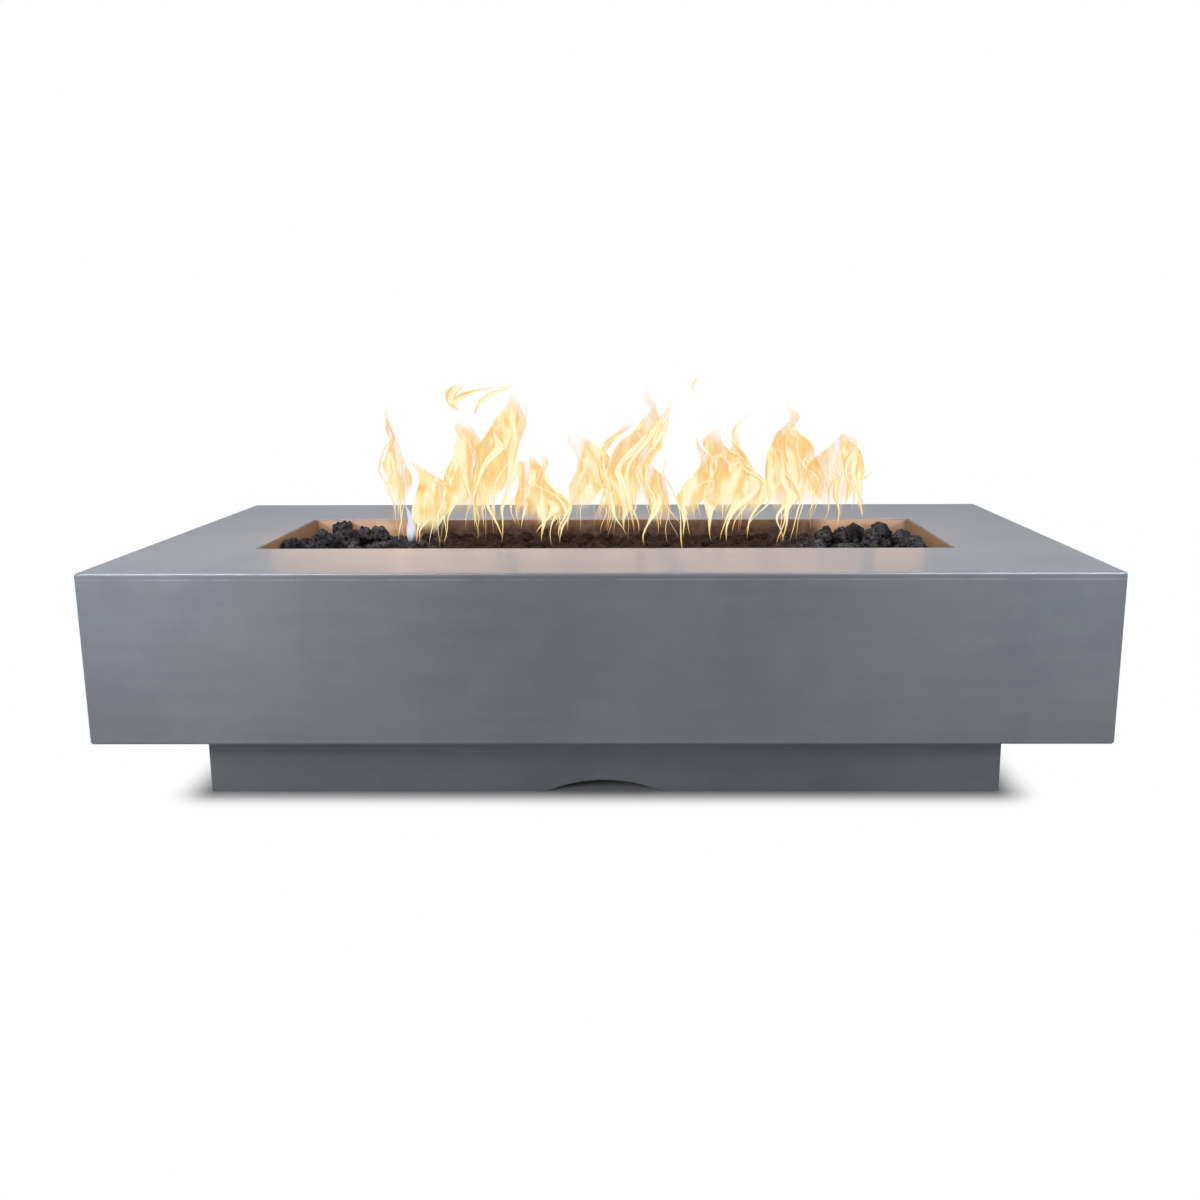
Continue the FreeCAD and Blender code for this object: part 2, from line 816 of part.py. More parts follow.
def make_gas_valve_body():
    body = block(
        valve_back, panel_back, valve_y - valve_width / 2, valve_y + valve_width / 2,
        valve_foot, control_height + valve_above_stem,
    )
    body = body.makeChamfer(cut_margin, parallel_edges(body, along_x))
    outlet = V(valve_back, valve_y, outlet_height)
    port = V(valve_back, valve_y, sensor_port_height)
    bosses = [
        rod(valve_boss_radius, outlet, -along_x, valve_boss_length),
        rod(flare_radius, outlet, -along_x, valve_boss_length + flare_length),
        rod(sensor_port_radius, port, -along_x, sensor_port_length),
        rod(valve_inlet_radius, V(valve_inlet_x, valve_y, inlet_boss_foot), along_z, valve_inlet_length),
    ]
    body = fuse_all(body, bosses)
    outlet_way = rod(flare_bore_radius, outlet_flare_end, along_x, valve_boss_length + 3 * flare_length)
    inlet_start = V(valve_inlet_x, valve_y, inlet_boss_foot)
    inlet_way = rod(valve_inlet_bore_radius, inlet_start, along_z, control_height - inlet_boss_foot)
    stem_start = V(stem_bore_end, valve_y, control_height)
    stem_way = rod(stem_radius + slip_gap, stem_start, along_x, panel_back - stem_bore_end)
    holes = [outlet_way, inlet_way, stem_way]
    port_end = V(valve_back - sensor_port_length, valve_y, sensor_port_height)
    holes.append(rod(sensor_lead_radius + slip_gap, port_end, along_x, sensor_port_length))
    for y, z in valve_screw_places():
        holes.append(rod(valve_screw_radius + slip_gap, V(panel_back, y, z), -along_x, valve_screw_length))
    return body.cut(Part.makeCompound(holes))


def make_valve_inlet_fitting():
    # A male flare union. Its upper spigot fills the valve's inlet, its lower one takes the supply hose.
    hex_top = inlet_boss_foot
    hex_foot = hex_top - inlet_fitting_hex_height
    axis = V(valve_inlet_x, valve_y, 0)
    fitting = hexagon(inlet_fitting_hex, axis + along_z * hex_foot, along_z, inlet_fitting_hex_height)
    thread = rod(inlet_thread_radius, axis + along_z * hex_foot, -along_z, inlet_thread_length)
    spigot = rod(valve_inlet_bore_radius - slip_gap, axis + along_z * hex_top, along_z, valve_inlet_length)
    fitting = fuse_all(fitting, [thread, spigot])
    start = axis + along_z * (hex_foot - inlet_thread_length)
    length = inlet_thread_length + inlet_fitting_hex_height + valve_inlet_length
    return fitting.cut(rod(flare_bore_radius, start, along_z, length))


def make_valve_screws():
    screws = []
    for y, z in valve_screw_places():
        seat = V(panel_face, y, z)
        head = rod(valve_screw_head_radius, seat, along_x, valve_screw_head_height)
        head = head.makeFillet(valve_screw_head_height / 2, [far_edge(head, along_x)])
        shank = rod(valve_screw_radius, seat, -along_x, panel_sheet + valve_screw_length - cut_margin)
        screws.append(fuse_all(head, [shank]))
    return Part.makeCompound(screws)


knob_foot = panel_face + knob_travel + knob_standoff
stem_outer_end = knob_foot + stem_bite


def stem_shape(radius, x_low, x_high):
    # A round shaft whose outer stretch has a flat, so that the knob can't slip on it.
    shaft = rod(radius, V(x_low, valve_y, control_height), along_x, x_high - x_low)
    flat_height = control_height + stem_radius - stem_flat_depth + (radius - stem_radius)
    flat = block(
        knob_foot, x_high, valve_y - 2 * radius, valve_y + 2 * radius, flat_height, flat_height + 2 * radius
    )
    return shaft.cut(flat)


def make_valve_stem():
    return stem_shape(stem_radius, stem_inner_end, stem_outer_end)


def make_valve_push_pin():
    start = V(stem_inner_end - push_pin_length, valve_y, control_height)
    return rod(push_pin_radius, start, along_x, push_pin_length - slip_gap)


def make_stem_spring():
    start = V(stem_bore_end, valve_y, control_height)
    length = stem_spring_length - slip_gap
    return coil(stem_spring_radius, spring_wire_radius, start, along_x, length, spring_turns)


def make_control_knob():
    centre = V(knob_foot, valve_y, control_height)
    skirt = rod(knob_radius, centre, along_x, knob_skirt_height)
    skirt = skirt.makeFillet(knob_edge_radius, [far_edge(skirt, along_x)])
    bar = block(
        knob_foot, knob_foot + knob_height,
        valve_y - knob_bar_width / 2, valve_y + knob_bar_width / 2,
        control_height - knob_bar_length / 2, control_height + knob_bar_length / 2,
    )
    bar = bar.makeFillet(0.45 * knob_bar_width, parallel_edges(bar, along_x))
    knob = fuse_all(skirt, [bar])
    top_face = max(knob.Faces, key=lambda face: face.CenterOfMass.x)
    knob = knob.makeFillet(knob_edge_radius, top_face.Edges)
    pointer = block(
        knob_foot + knob_height - pointer_depth, knob_foot + knob_height + cut_margin,
        valve_y - pointer_width / 2, valve_y + pointer_width / 2,
        control_height + knob_bar_length / 4, control_height + knob_bar_length,
    )
    return knob.cut(stem_shape(stem_radius + slip_gap, knob_foot, stem_outer_end)).cut(pointer)


# Spark igniter

button_face = panel_face + igniter_flange_height + button_travel + button_pressed_stand
button_back = button_face - button_length
battery_face = button_back - button_spring_length
button_radius = igniter_radius - igniter_wall - slide_gap


def igniter_rod(radius, x_low, x_high):
    return rod(radius, V(x_low, igniter_y, control_height), along_x, x_high - x_low)


def make_igniter_housing():
    flange_face = panel_face + igniter_flange_height
    barrel = igniter_rod(igniter_radius, panel_face - igniter_length, flange_face)
    flange = igniter_rod(igniter_flange_radius, panel_face, flange_face)
    flange = flange.makeFillet(igniter_flange_height / 3, [far_edge(flange, along_x)])
    housing = fuse_all(barrel, [flange])
    well = igniter_rod(igniter_radius - igniter_wall, battery_face, flange_face)
    battery_space = igniter_rod(battery_radius + hole_gap, battery_face - battery_length, flange_face)
    return housing.cut(well).cut(battery_space)


def make_igniter_nut():
    start = V(panel_back, igniter_y, control_height)
    nut = hexagon(igniter_nut_flats, start, -along_x, igniter_nut_height)
    return nut.cut(rod(igniter_radius + slip_gap, start, -along_x, igniter_nut_height))


def make_igniter_button():
    button = igniter_rod(button_radius, button_back, button_face)
    return button.makeFillet(button_edge_radius, [far_edge(button, along_x)])


def make_igniter_spring():
    start = V(battery_face, igniter_y, control_height)
    length = button_spring_length - slip_gap
    return coil(button_spring_radius, spring_wire_radius, start, along_x, length, spring_turns)


def make_igniter_battery():
    case = igniter_rod(battery_radius, battery_face - battery_length, battery_face - cut_margin)
    nub = igniter_rod(battery_radius / 3, battery_face - battery_length, battery_face)
    return fuse_all(case, [nub])


# Spark electrode and flame sensor

plate_top = pan_floor + bracket_plate_sheet
hood_x_low = sensor_x + sensor_spacing / 2 - sensor_plate_length / 2
hood_x_high = hood_x_low + sensor_plate_length
hood_y_low = sensor_y - sensor_plate_width / 2
hood_y_high = sensor_y + sensor_plate_width / 2


def make_sensor_bracket():
    plate = block(hood_x_low, hood_x_high, hood_y_low, hood_y_high, pan_floor, plate_top)
    electrode_x, probe_x = sensor_places()
    holes = [
        rod(insulator_radius + slip_gap, V(electrode_x, sensor_y, pan_floor), along_z, bracket_plate_sheet),
        rod(probe_radius + slip_gap, V(probe_x, sensor_y, pan_floor), along_z, bracket_plate_sheet),
    ]
    return plate.cut(Part.makeCompound(holes))


def make_sensor_hood():
    # A roof and three walls keep the rock off. The side that faces the back rail is open.
    hood = block(hood_x_low, hood_x_high, hood_y_low, hood_y_high, plate_top, plate_top + hood_height)
    hood = hood.cut(block(
        hood_x_low + hood_sheet, hood_x_high - hood_sheet, hood_y_low + hood_sheet, hood_y_high + cut_margin,
        plate_top - cut_margin, plate_top + hood_height - hood_sheet,
    ))
    slots = []
    middle_x = (hood_x_low + hood_x_high) / 2
    roof_foot = plate_top + hood_height - 2 * hood_sheet
    roof_top = plate_top + hood_height + cut_margin
    for index in range(hood_slot_count):
        x = middle_x + (index - (hood_slot_count - 1) / 2) * hood_slot_pitch
        slots.append(block(
            x - hood_slot_width / 2, x + hood_slot_width / 2,
            hood_y_low + 4 * hood_sheet, hood_y_high - 4 * hood_sheet, roof_foot, roof_top,
        ))
    return hood.cut(Part.makeCompound(slots))


def make_electrode_insulator():
    foot = V(sensor_x, sensor_y, plate_top - insulator_below)
    body = rod(insulator_radius, foot, along_z, insulator_below + insulator_above)
    collar = rod(insulator_collar_radius, V(sensor_x, sensor_y, plate_top), along_z, insulator_collar_height)
    bore = rod(electrode_radius + slip_gap, foot, along_z, insulator_below + insulator_above)
    return fuse_all(body, [collar]).cut(bore)


def make_spark_electrode():
    foot = V(sensor_x, sensor_y, plate_top - electrode_below)
    return rod(electrode_radius, foot, along_z, electrode_below + electrode_above)


def make_thermocouple_probe():
    probe_x = sensor_x + sensor_spacing
    foot = V(probe_x, sensor_y, plate_top - probe_below)
    probe = rod(probe_radius, foot, along_z, probe_below + probe_above)
    probe = probe.makeFillet(probe_radius / 2, [far_edge(probe, along_z)])
    collar = rod(probe_collar_radius, V(probe_x, sensor_y, plate_top), along_z, probe_collar_height)
    return fuse_all(probe, [collar])


def make_igniter_lead():
    start = V(sensor_x, sensor_y, plate_top - electrode_below)
    below = start - along_z * lead_tail
    end = V(panel_face - igniter_length, igniter_y, control_height)
    at_clip = V(clip_x, valve_y + lead_side_offset, sensor_port_height)
    points = [
        start, below, at_clip - along_x * 2 * lead_tail, at_clip + along_x * lead_tail / 2,
        end - along_x * lead_tail / 2, end,
    ]
    return swept_rod(points, igniter_lead_radius, lead_bend)


def make_thermocouple_lead():
    start = V(sensor_x + sensor_spacing, sensor_y, plate_top - probe_below)
    below = start - along_z * lead_tail
    end = V(valve_back, valve_y, sensor_port_height)
    points = [start, below, V(clip_x, valve_y, sensor_port_height) - along_x * 2 * lead_tail, end]
    return swept_rod(points, sensor_lead_radius, lead_bend)


def make_lead_clip():
    # A moulded plate that holds both leads to the supply tube.
    high_z = sensor_port_height + clip_margin
    clip = block(
        clip_x - clip_thickness / 2, clip_x + clip_thickness / 2,
        valve_y - supply_tube_radius - clip_margin, valve_y + lead_side_offset + clip_margin,
        outlet_height - supply_tube_radius - clip_margin, high_z,
    )
    clip = clip.makeFillet(clip_margin / 2, parallel_edges(clip, along_x))
    start_x = clip_x - clip_thickness
    threaded = (
        (supply_tube_radius, valve_y, outlet_height),
        (sensor_lead_radius, valve_y, sensor_port_height),
        (igniter_lead_radius, valve_y + lead_side_offset, sensor_port_height),
    )
    holes = []
    for radius, y, z in threaded:
        holes.append(rod(radius + slip_gap, V(start_x, y, z), along_x, 2 * clip_thickness))
    return clip.cut(Part.makeCompound(holes))


# Lava rock

def make_lava_rock_bed():
    # One solid stands for the lower layers of rock, with room for the burner and the sensors.
    lower = centred_block(
        pan_length - 2 * pan_sheet - 2 * bed_gap, pan_width - 2 * pan_sheet - 2 * bed_gap,
        pan_floor, flange_top + liner_sheet, pan_corner_radius - pan_sheet,
    )
    upper = centred_block(
        liner_length - 2 * liner_sheet - 2 * bed_gap, liner_width - 2 * liner_sheet - 2 * bed_gap,
        flange_top + liner_sheet, bed_top,
    )
    bed = fuse_all(lower, [upper])
    rail_room = cap_radius + bed_gap
    room = []
    for y in (-burner_spacing / 2, burner_spacing / 2):
        start = V(-burner_length / 2 - cap_end - bed_gap, y, burner_height)
        room.append(rod(rail_room, start, along_x, burner_length + 2 * (cap_end + bed_gap)))
    cross_start = V(0, -burner_spacing / 2, burner_height)
    room.append(rod(pipe_radius + bed_gap, cross_start, along_y, burner_spacing))
    hub_room = max(hub_radius, locknut_flats / math.sqrt(3)) + bed_gap
    room.append(rod(hub_room, V(0, 0, pan_floor), along_z, burner_height - pan_floor))
    for x, y in burner_foot_places():
        half_x = burner_foot_thickness / 2 + bed_gap
        half_y = burner_foot_width / 2 + bed_gap
        room.append(block(x - half_x, x + half_x, y - half_y, y + half_y, pan_floor, burner_height))
    room.append(block(
        hood_x_low - bed_gap, hood_x_high + bed_gap, hood_y_low - bed_gap, hood_y_high + bed_gap,
        pan_floor, plate_top + hood_height + bed_gap,
    ))
    return bed.cut(Part.makeCompound(room[:2])).cut(fuse_all(room[2], room[3:]))


def clip_faces(faces, normal, distance):
    # Keeps the part of a convex body, given as a list of polygons, where point . normal <= distance.
    kept = []
    rim = []
    for polygon in faces:
        heights = [point.dot(normal) - distance for point in polygon]
        if max(heights) <= tiny:
            kept.append(polygon)
            continue
        if min(heights) >= -tiny:
            continue
        clipped = []
        for index, point in enumerate(polygon):
            following = polygon[(index + 1) % len(polygon)]
            height = heights[index]
            next_height = heights[(index + 1) % len(polygon)]
            if height <= 0:
                clipped.append(point)
            if height * next_height < 0:
                crossing = point + (following - point) * (height / (height - next_height))
                clipped.append(crossing)
                rim.append(crossing)
        kept.append(clipped)
    if len(rim) > 2:
        kept.append(ordered_rim(rim, normal))
    return kept


def ordered_rim(points, normal):
    # Each crossing point was met on two faces, so near copies are dropped before sorting by angle.
    corners = []
    for point in points:
        if all(point.distanceToPoint(other) > 1e-4 for other in corners):
            corners.append(point)
    centre = V(0, 0, 0)
    for point in corners:
        centre = centre + point
    centre = centre * (1 / len(corners))
    side = (corners[0] - centre).normalize()
    up = normal.cross(side)

    def angle_round(point):
        return math.atan2((point - centre).dot(up), (point - centre).dot(side))

    return sorted(corners, key=angle_round)


def rock_sites(chance):
    # A jittered triangular grid makes the top layer. The heaps at both ends stand on it.
    reach_x = liner_length / 2 - liner_sheet - rock_size / 3
    reach_y = liner_width / 2 - liner_sheet - rock_size / 3
    rows = int(2 * reach_y / (rock_pitch * math.sqrt(3) / 2)) + 1
    columns = int(2 * reach_x / rock_pitch) + 1
    row_step = 2 * reach_y / (rows - 1)
    column_step = 2 * reach_x / (columns - 0.5)
    sites = []
    for row in range(rows):
        for column in range(columns):
            x = -reach_x + (column + 0.5 * (row % 2)) * column_step
            y = -reach_y + row * row_step
            shift_x = chance.uniform(-0.16, 0.16) * column_step
            shift_y = chance.uniform(-0.16, 0.16) * row_step
            site = V(x + shift_x, y + shift_y, bed_top + chance.uniform(-2.0, 5.0))
            sites.append(site)
    end_wall = liner_length / 2 - liner_sheet
    for side, heap in ((-1, left_heap), (1, right_heap)):
        for from_end, share in heap:
            rise = heap_rock_rise + chance.uniform(-1.0, 1.0)
            sites.append(V(side * (end_wall - from_end), share * reach_y, bed_top + rise))
    return sites


def facet_directions(chance):
    # Even directions over a sphere, turned by a chance angle and jittered.
    turn = chance.uniform(0, 2 * math.pi)
    directions = []
    for index in range(rock_facets):
        height = 1 - (2 * index + 1) / rock_facets
        angle = turn + index * math.pi * (3 - math.sqrt(5))
        flat = math.sqrt(1 - height * height)
        jitter = V(chance.uniform(-0.25, 0.25), chance.uniform(-0.25, 0.25), chance.uniform(-0.25, 0.25))
        directions.append((V(flat * math.cos(angle), flat * math.sin(angle), height) + jitter).normalize())
    return directions


def rock_faces(site, neighbours, chance):
    # A cube is cut down by chance facets, by flats halfway to each neighbour and by what holds the bed.
    corners = []
    for x in (-rock_size, rock_size):
        for y in (-rock_size, rock_size):
            for z in (-rock_size, rock_size):
                corners.append(site + V(x, y, z))
    quads = ((0, 1, 3, 2), (4, 6, 7, 5), (0, 4, 5, 1), (2, 3, 7, 6), (0, 2, 6, 4), (1, 5, 7, 3))
    faces = [[corners[index] for index in quad] for quad in quads]
    radius = rock_size / 2 * chance.uniform(0.94, 1.06)
    for direction in facet_directions(chance):
        faces = clip_faces(faces, direction, site.dot(direction) + radius * chance.uniform(0.86, 1.0))
    for neighbour in neighbours:
        apart = neighbour - site
        normal = V(apart).normalize()
        faces = clip_faces(faces, normal, site.dot(normal) + apart.Length / 2 - rock_gap / 2)
    wall_x = liner_length / 2 - liner_sheet - rock_gap
    wall_y = liner_width / 2 - liner_sheet - rock_gap
    limits = (
        (along_x, wall_x), (-along_x, wall_x), (along_y, wall_y), (-along_y, wall_y),
        (-along_z, -bed_top), (along_z, table_height - rock_crown_drop),
    )
    for normal, distance in limits:
        faces = clip_faces(faces, normal, distance)
    return faces


def shortest_edge(faces):
    lengths = []
    for polygon in faces:
        for point, following in zip(polygon, polygon[1:] + polygon[:1]):
            lengths.append(point.distanceToPoint(following))
    return min(lengths)


def make_rock(site, neighbours, chance):
    faces = rock_faces(site, neighbours, chance)
    while shortest_edge(faces) < shortest_rock_edge:
        faces = rock_faces(site, neighbours, chance)
    shell_faces = [Part.Face(Part.makePolygon(polygon + [polygon[0]])) for polygon in faces]
    return Part.makeSolid(Part.Shell(shell_faces))


def make_lava_rocks():
    chance = random.Random(7)
    sites = rock_sites(chance)
    rocks = []
    for site in sites:
        near = [other for other in sites if other is not site and (other - site).Length < 1.3 * rock_size]
        rocks.append(make_rock(site, near, chance))
    return Part.makeCompound(rocks)


sub_parts = {
    "tabletop_shell": make_tabletop_shell,
    "base_plinth": make_base_plinth,
    "mounting_brackets": make_mounting_brackets,
    "bracket_bolts": make_bracket_bolts,
    "threaded_inserts": make_threaded_inserts,
    "fire_opening_liner": make_fire_opening_liner,
    "burner_pan": make_burner_pan,
    "burner_rail_front": lambda: make_burner_rail(-1),
    "burner_rail_back": lambda: make_burner_rail(1),
    "burner_crossbar": make_burner_crossbar,
    "burner_hub": make_burner_hub,
    "burner_end_caps": make_burner_end_caps,
    "burner_feet": make_burner_feet,
    "inlet_nipple": make_inlet_nipple,
    "pan_locknuts": make_pan_locknuts,
    "air_mixer": make_air_mixer,
    "inlet_elbow": make_inlet_elbow,
    "supply_tube": make_supply_tube,
    "supply_tube_nuts": make_supply_tube_nuts,
    "control_box": make_control_box,
    "control_box_screws": make_control_box_screws,
    "control_box_inserts": make_control_box_inserts,
    "gas_valve_body": make_gas_valve_body,
    "valve_inlet_fitting": make_valve_inlet_fitting,
    "valve_screws": make_valve_screws,
    "valve_stem": make_valve_stem,
    "valve_push_pin": make_valve_push_pin,
    "stem_spring": make_stem_spring,
    "control_knob": make_control_knob,
    "igniter_housing": make_igniter_housing,
    "igniter_nut": make_igniter_nut,
    "igniter_button": make_igniter_button,
    "igniter_spring": make_igniter_spring,
    "igniter_battery": make_igniter_battery,
    "sensor_bracket": make_sensor_bracket,
    "sensor_hood": make_sensor_hood,
    "electrode_insulator": make_electrode_insulator,
    "spark_electrode": make_spark_electrode,
    "thermocouple_probe": make_thermocouple_probe,
    "igniter_lead": make_igniter_lead,
    "thermocouple_lead": make_thermocouple_lead,
    "lead_clip": make_lead_clip,
    "lava_rock_bed": make_lava_rock_bed,
    "lava_rocks": make_lava_rocks,
}

os.makedirs("parts", exist_ok=True)
for name, make in sub_parts.items():
    shape = make()
    print(name, len(shape.Solids), "solids,", round(shape.Volume), "cubic mm")
    shape.exportStep(f"parts/{name}.step")
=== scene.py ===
import json
import math
import random

import bpy
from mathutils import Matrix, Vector


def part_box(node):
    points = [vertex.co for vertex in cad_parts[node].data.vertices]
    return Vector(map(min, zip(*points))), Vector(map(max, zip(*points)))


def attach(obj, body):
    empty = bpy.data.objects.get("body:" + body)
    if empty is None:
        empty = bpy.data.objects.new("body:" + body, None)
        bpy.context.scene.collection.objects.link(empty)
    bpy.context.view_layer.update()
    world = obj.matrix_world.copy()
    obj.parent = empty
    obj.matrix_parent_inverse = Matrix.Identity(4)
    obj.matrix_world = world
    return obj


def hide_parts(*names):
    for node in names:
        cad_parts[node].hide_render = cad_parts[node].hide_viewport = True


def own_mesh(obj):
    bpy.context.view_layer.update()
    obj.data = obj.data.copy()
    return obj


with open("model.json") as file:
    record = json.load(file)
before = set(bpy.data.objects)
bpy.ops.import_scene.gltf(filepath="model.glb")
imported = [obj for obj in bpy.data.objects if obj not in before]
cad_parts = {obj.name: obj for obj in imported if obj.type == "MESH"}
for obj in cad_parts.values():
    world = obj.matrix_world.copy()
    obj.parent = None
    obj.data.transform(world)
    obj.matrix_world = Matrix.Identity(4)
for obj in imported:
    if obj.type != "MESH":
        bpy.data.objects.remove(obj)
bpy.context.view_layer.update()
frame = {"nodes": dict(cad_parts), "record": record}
nodes = frame["nodes"]
print("frame loaded:", len(nodes), "nodes")

# The camera, fitted to the corners of the top, the plinth and the opening
cameraSettings = {
    "place": (0.0678, -2.0640, 0.6836),
    "lens": 35.08,
    "down": 11.66,
    "left": 0.356,
    "roll": 0.154,
    "shift": -0.0321,
    "film": 36,
    "clip": (0.05, 60),
}


def makeCamera(settings):
    bpy.ops.object.camera_add(location=settings["place"])
    camera = bpy.context.object
    camera.name = "tableCamera"
    camera.rotation_euler = (
        math.radians(90 - settings["down"]),
        math.radians(settings["roll"]),
        math.radians(settings["left"]),
    )
    camera.data.sensor_width = settings["film"]
    camera.data.lens = settings["lens"]
    camera.data.shift_x = settings["shift"]
    camera.data.clip_start, camera.data.clip_end = settings["clip"]
    bpy.context.scene.camera = camera


makeCamera(cameraSettings)
bpy.context.scene.view_settings.view_transform = "Standard"
print("camera placed")


# Shader maths: a wire carries one socket of a material and can be added, multiplied and so on

class Wire:
    def __init__(self, finish, socket):
        self.finish = finish
        self.socket = socket

    def __add__(self, other):
        return self.finish.math("ADD", self, other)

    def __sub__(self, other):
        return self.finish.math("SUBTRACT", self, other)

    def __rsub__(self, other):
        return self.finish.math("SUBTRACT", other, self)

    def __mul__(self, other):
        return self.finish.math("MULTIPLY", self, other)

    # A sum or a product is the same either way round
    __radd__ = __add__
    __rmul__ = __mul__


class Finish:
    def __init__(self, name, owner=None):
        # The nodes go into a new material, or into the world when it is given
        self.owner = owner or bpy.data.materials.new(name)
        self.owner.use_nodes = True
        self.tree = self.owner.node_tree
        self.tree.nodes.clear()

    def node(self, kind, settings=None, sockets=None, output=0):
        # Settings go in first, because some of them change which sockets the node has
        added = self.tree.nodes.new("ShaderNode" + kind)
        for key, value in (settings or {}).items():
            if key == "stops":
                ramp = added.color_ramp.elements
                ramp.remove(ramp[1])
                for index, (place, colour) in enumerate(value):
                    stop = ramp.new(place) if index else ramp[0]
                    stop.position = place
                    stop.color = tint(*colour)
            else:
                setattr(added, key, value)
        for key, value in (sockets or {}).items():
            if isinstance(value, Wire):
                self.tree.links.new(value.socket, added.inputs[key])
            else:
                added.inputs[key].default_value = value
        return Wire(self, added.outputs[output]) if added.outputs else None

    def place(self, stretch=(1, 1, 1)):
        where = self.node("TexCoord", output="Object")
        return self.node("Mapping", None, {"Vector": where, "Scale": stretch})

    def clouds(self, where, size, detail=4.0, roughness=0.5, warp=0.0):
        return self.node("TexNoise", None, {
            "Vector": where, "Scale": 1 / size, "Detail": detail, "Roughness": roughness,
            "Distortion": warp,
        }, "Fac")

    def cells(self, where, size, feature="F1", output="Distance"):
        return self.node("TexVoronoi", {"feature": feature}, {"Vector": where, "Scale": 1 / size}, output)

    def between(self, value, low, high, start=0.0, end=1.0):
        return self.node(
            "MapRange", {"interpolation_type": "SMOOTHSTEP"},
            {"Value": value, "From Min": low, "From Max": high, "To Min": start, "To Max": end},
        )

    def blend(self, amount, first, second):
        # A Mix node keeps its colours in sockets 6 and 7, and gives the mixed one from socket 2
        return self.node("Mix", {"data_type": "RGBA"}, {0: amount, 6: first, 7: second}, 2)

    def bump(self, height, depth, strength, under=None):
        sockets = {"Height": height, "Distance": depth, "Strength": strength}
        if under is not None:
            sockets["Normal"] = under
        return self.node("Bump", None, sockets)

    def axis(self, where, letter):
        return self.node("SeparateXYZ", None, {"Vector": where}, letter)

    def red(self, colour):
        return self.node("SeparateColor", None, {"Color": colour}, "Red")

    def math(self, operation, first, second=0.0):
        return self.node("Math", {"operation": operation}, {0: first, 1: second})

    def size(self, value):
        return self.math("ABSOLUTE", value)

    def surface(self, colour, rough, skin=None, others=None):
        sockets = {"Base Color": colour, "Roughness": rough, **(others or {})}
        if skin is not None:
            sockets["Normal"] = skin
        shader = self.node("BsdfPrincipled", None, sockets)
        self.node("OutputMaterial", None, {"Surface": shader})
        return self.owner


def tint(red, green, blue):
    return (red, green, blue, 1.0)


def shaded(tone, share, more=0.0):
    return tint(*[part * share + more for part in tone])


# Finishes. Sizes are in metres, so a cloud of 0.12 is as wide as a hand. A range holds the two values
# that a pattern passes between and, where they aren't 0 and 1, the two that it then gives.

concreteLook = {
    "pale": tint(0.352, 0.362, 0.396),
    "dark": tint(0.284, 0.295, 0.328),
    "violet": tint(0.336, 0.328, 0.368),
    "speck": tint(0.20, 0.20, 0.21),
    # the chosen pinholes are painted this darker grey: painted shade in the holes
    "hole": tint(0.13, 0.13, 0.14),
    "cloudSize": 0.32,
    "mottleSize": 0.055,
    "dragSize": 0.21,
    "dragStretch": (1, 1, 9),
    "toneShares": (0.55, 0.22, 0.23),
    "toneRange": (0.34, 0.66),
    "violetSize": 0.19,
    "violetRange": (0.45, 0.75, 0.0, 0.5),
    "grainSize": 0.0016,
    "grainDepth": 0.00012,
    "speckRange": (0.62, 0.72, 0.0, 0.16),
    "pinholeSize": 0.017,
    "pinholeDepth": 0.0006,
    "pinholeShare": (0.80, 0.86),
    "pinholeRange": (0.035, 0.075, 1.0, 0.0),
    "waveSize": 0.16,
    "waveDepth": 0.0008,
    # a faint pale line round the outside, just below the top edge, along a seam of the mould: painted
    # highlight where the rounded edge meets the face
    "seamHighlight": tint(0.64, 0.65, 0.69),
    "seamHeight": 0.3716,
    "seamWide": (0.0003, 0.0010),
    "seamRange": (0.38, 0.62, 0.15, 0.75),
    # how far out the front and the ends begin
    "outside": (0.403, 0.758),
}


def castConcrete(look):
    finish = Finish("castConcrete")
    where = finish.place()
    cloud = finish.clouds(where, look["cloudSize"], 3, 0.55, 0.6)
    mottle = finish.clouds(where, look["mottleSize"], 5, 0.6, 0.3)
    drag = finish.clouds(finish.place(look["dragStretch"]), look["dragSize"], 3, 0.5)
    grain = finish.clouds(where, look["grainSize"], 2, 0.6)
    cloudShare, mottleShare, dragShare = look["toneShares"]
    tone = cloud * cloudShare + mottle * mottleShare + drag * dragShare
    colour = finish.blend(finish.between(tone, *look["toneRange"]), look["dark"], look["pale"])
    violet = finish.between(finish.clouds(where, look["violetSize"], 2, 0.5, 0.8), *look["violetRange"])
    colour = finish.blend(violet, colour, look["violet"])
    colour = finish.blend(finish.between(grain, *look["speckRange"]), colour, look["speck"])
    # Each cell has a pinhole in its middle, and only the chosen ones show
    choice = finish.red(finish.cells(where, look["pinholeSize"], output="Color"))
    chosen = finish.between(choice, *look["pinholeShare"])
    hole = finish.between(finish.cells(where, look["pinholeSize"]), *look["pinholeRange"]) * chosen
    # Painted shade: the chosen pinholes are darkened
    colour = finish.blend(hole * 0.55, colour, look["hole"])
    # Painted highlight: a thin pale line round the outside, below the rounded top edge
    fromSeam = finish.size(finish.axis(where, "Z") - look["seamHeight"])
    front, side = [
        finish.math("GREATER_THAN", finish.size(finish.axis(where, axis)), least)
        for axis, least in zip("YX", look["outside"])
    ]
    seamHighlight = finish.between(fromSeam, *look["seamWide"], 1.0, 0.0) * finish.math("MAXIMUM", front, side)
    colour = finish.blend(seamHighlight * finish.between(mottle, *look["seamRange"]), colour, look["seamHighlight"])
    waves = finish.clouds(where, look["waveSize"], 2, 0.4)
    skin = finish.bump(waves, look["waveDepth"], 0.1)
    skin = finish.bump(grain, look["grainDepth"], 0.5, skin)
    skin = finish.bump(1 - hole, look["pinholeDepth"], 0.9, skin)
    rough = 0.40 + mottle * 0.16 + grain * 0.06 + hole * 0.3
    return finish.surface(colour, rough, skin, {
        "Specular IOR Level": 0.36, "Coat Weight": 0.20, "Coat Roughness": 0.13,
    })


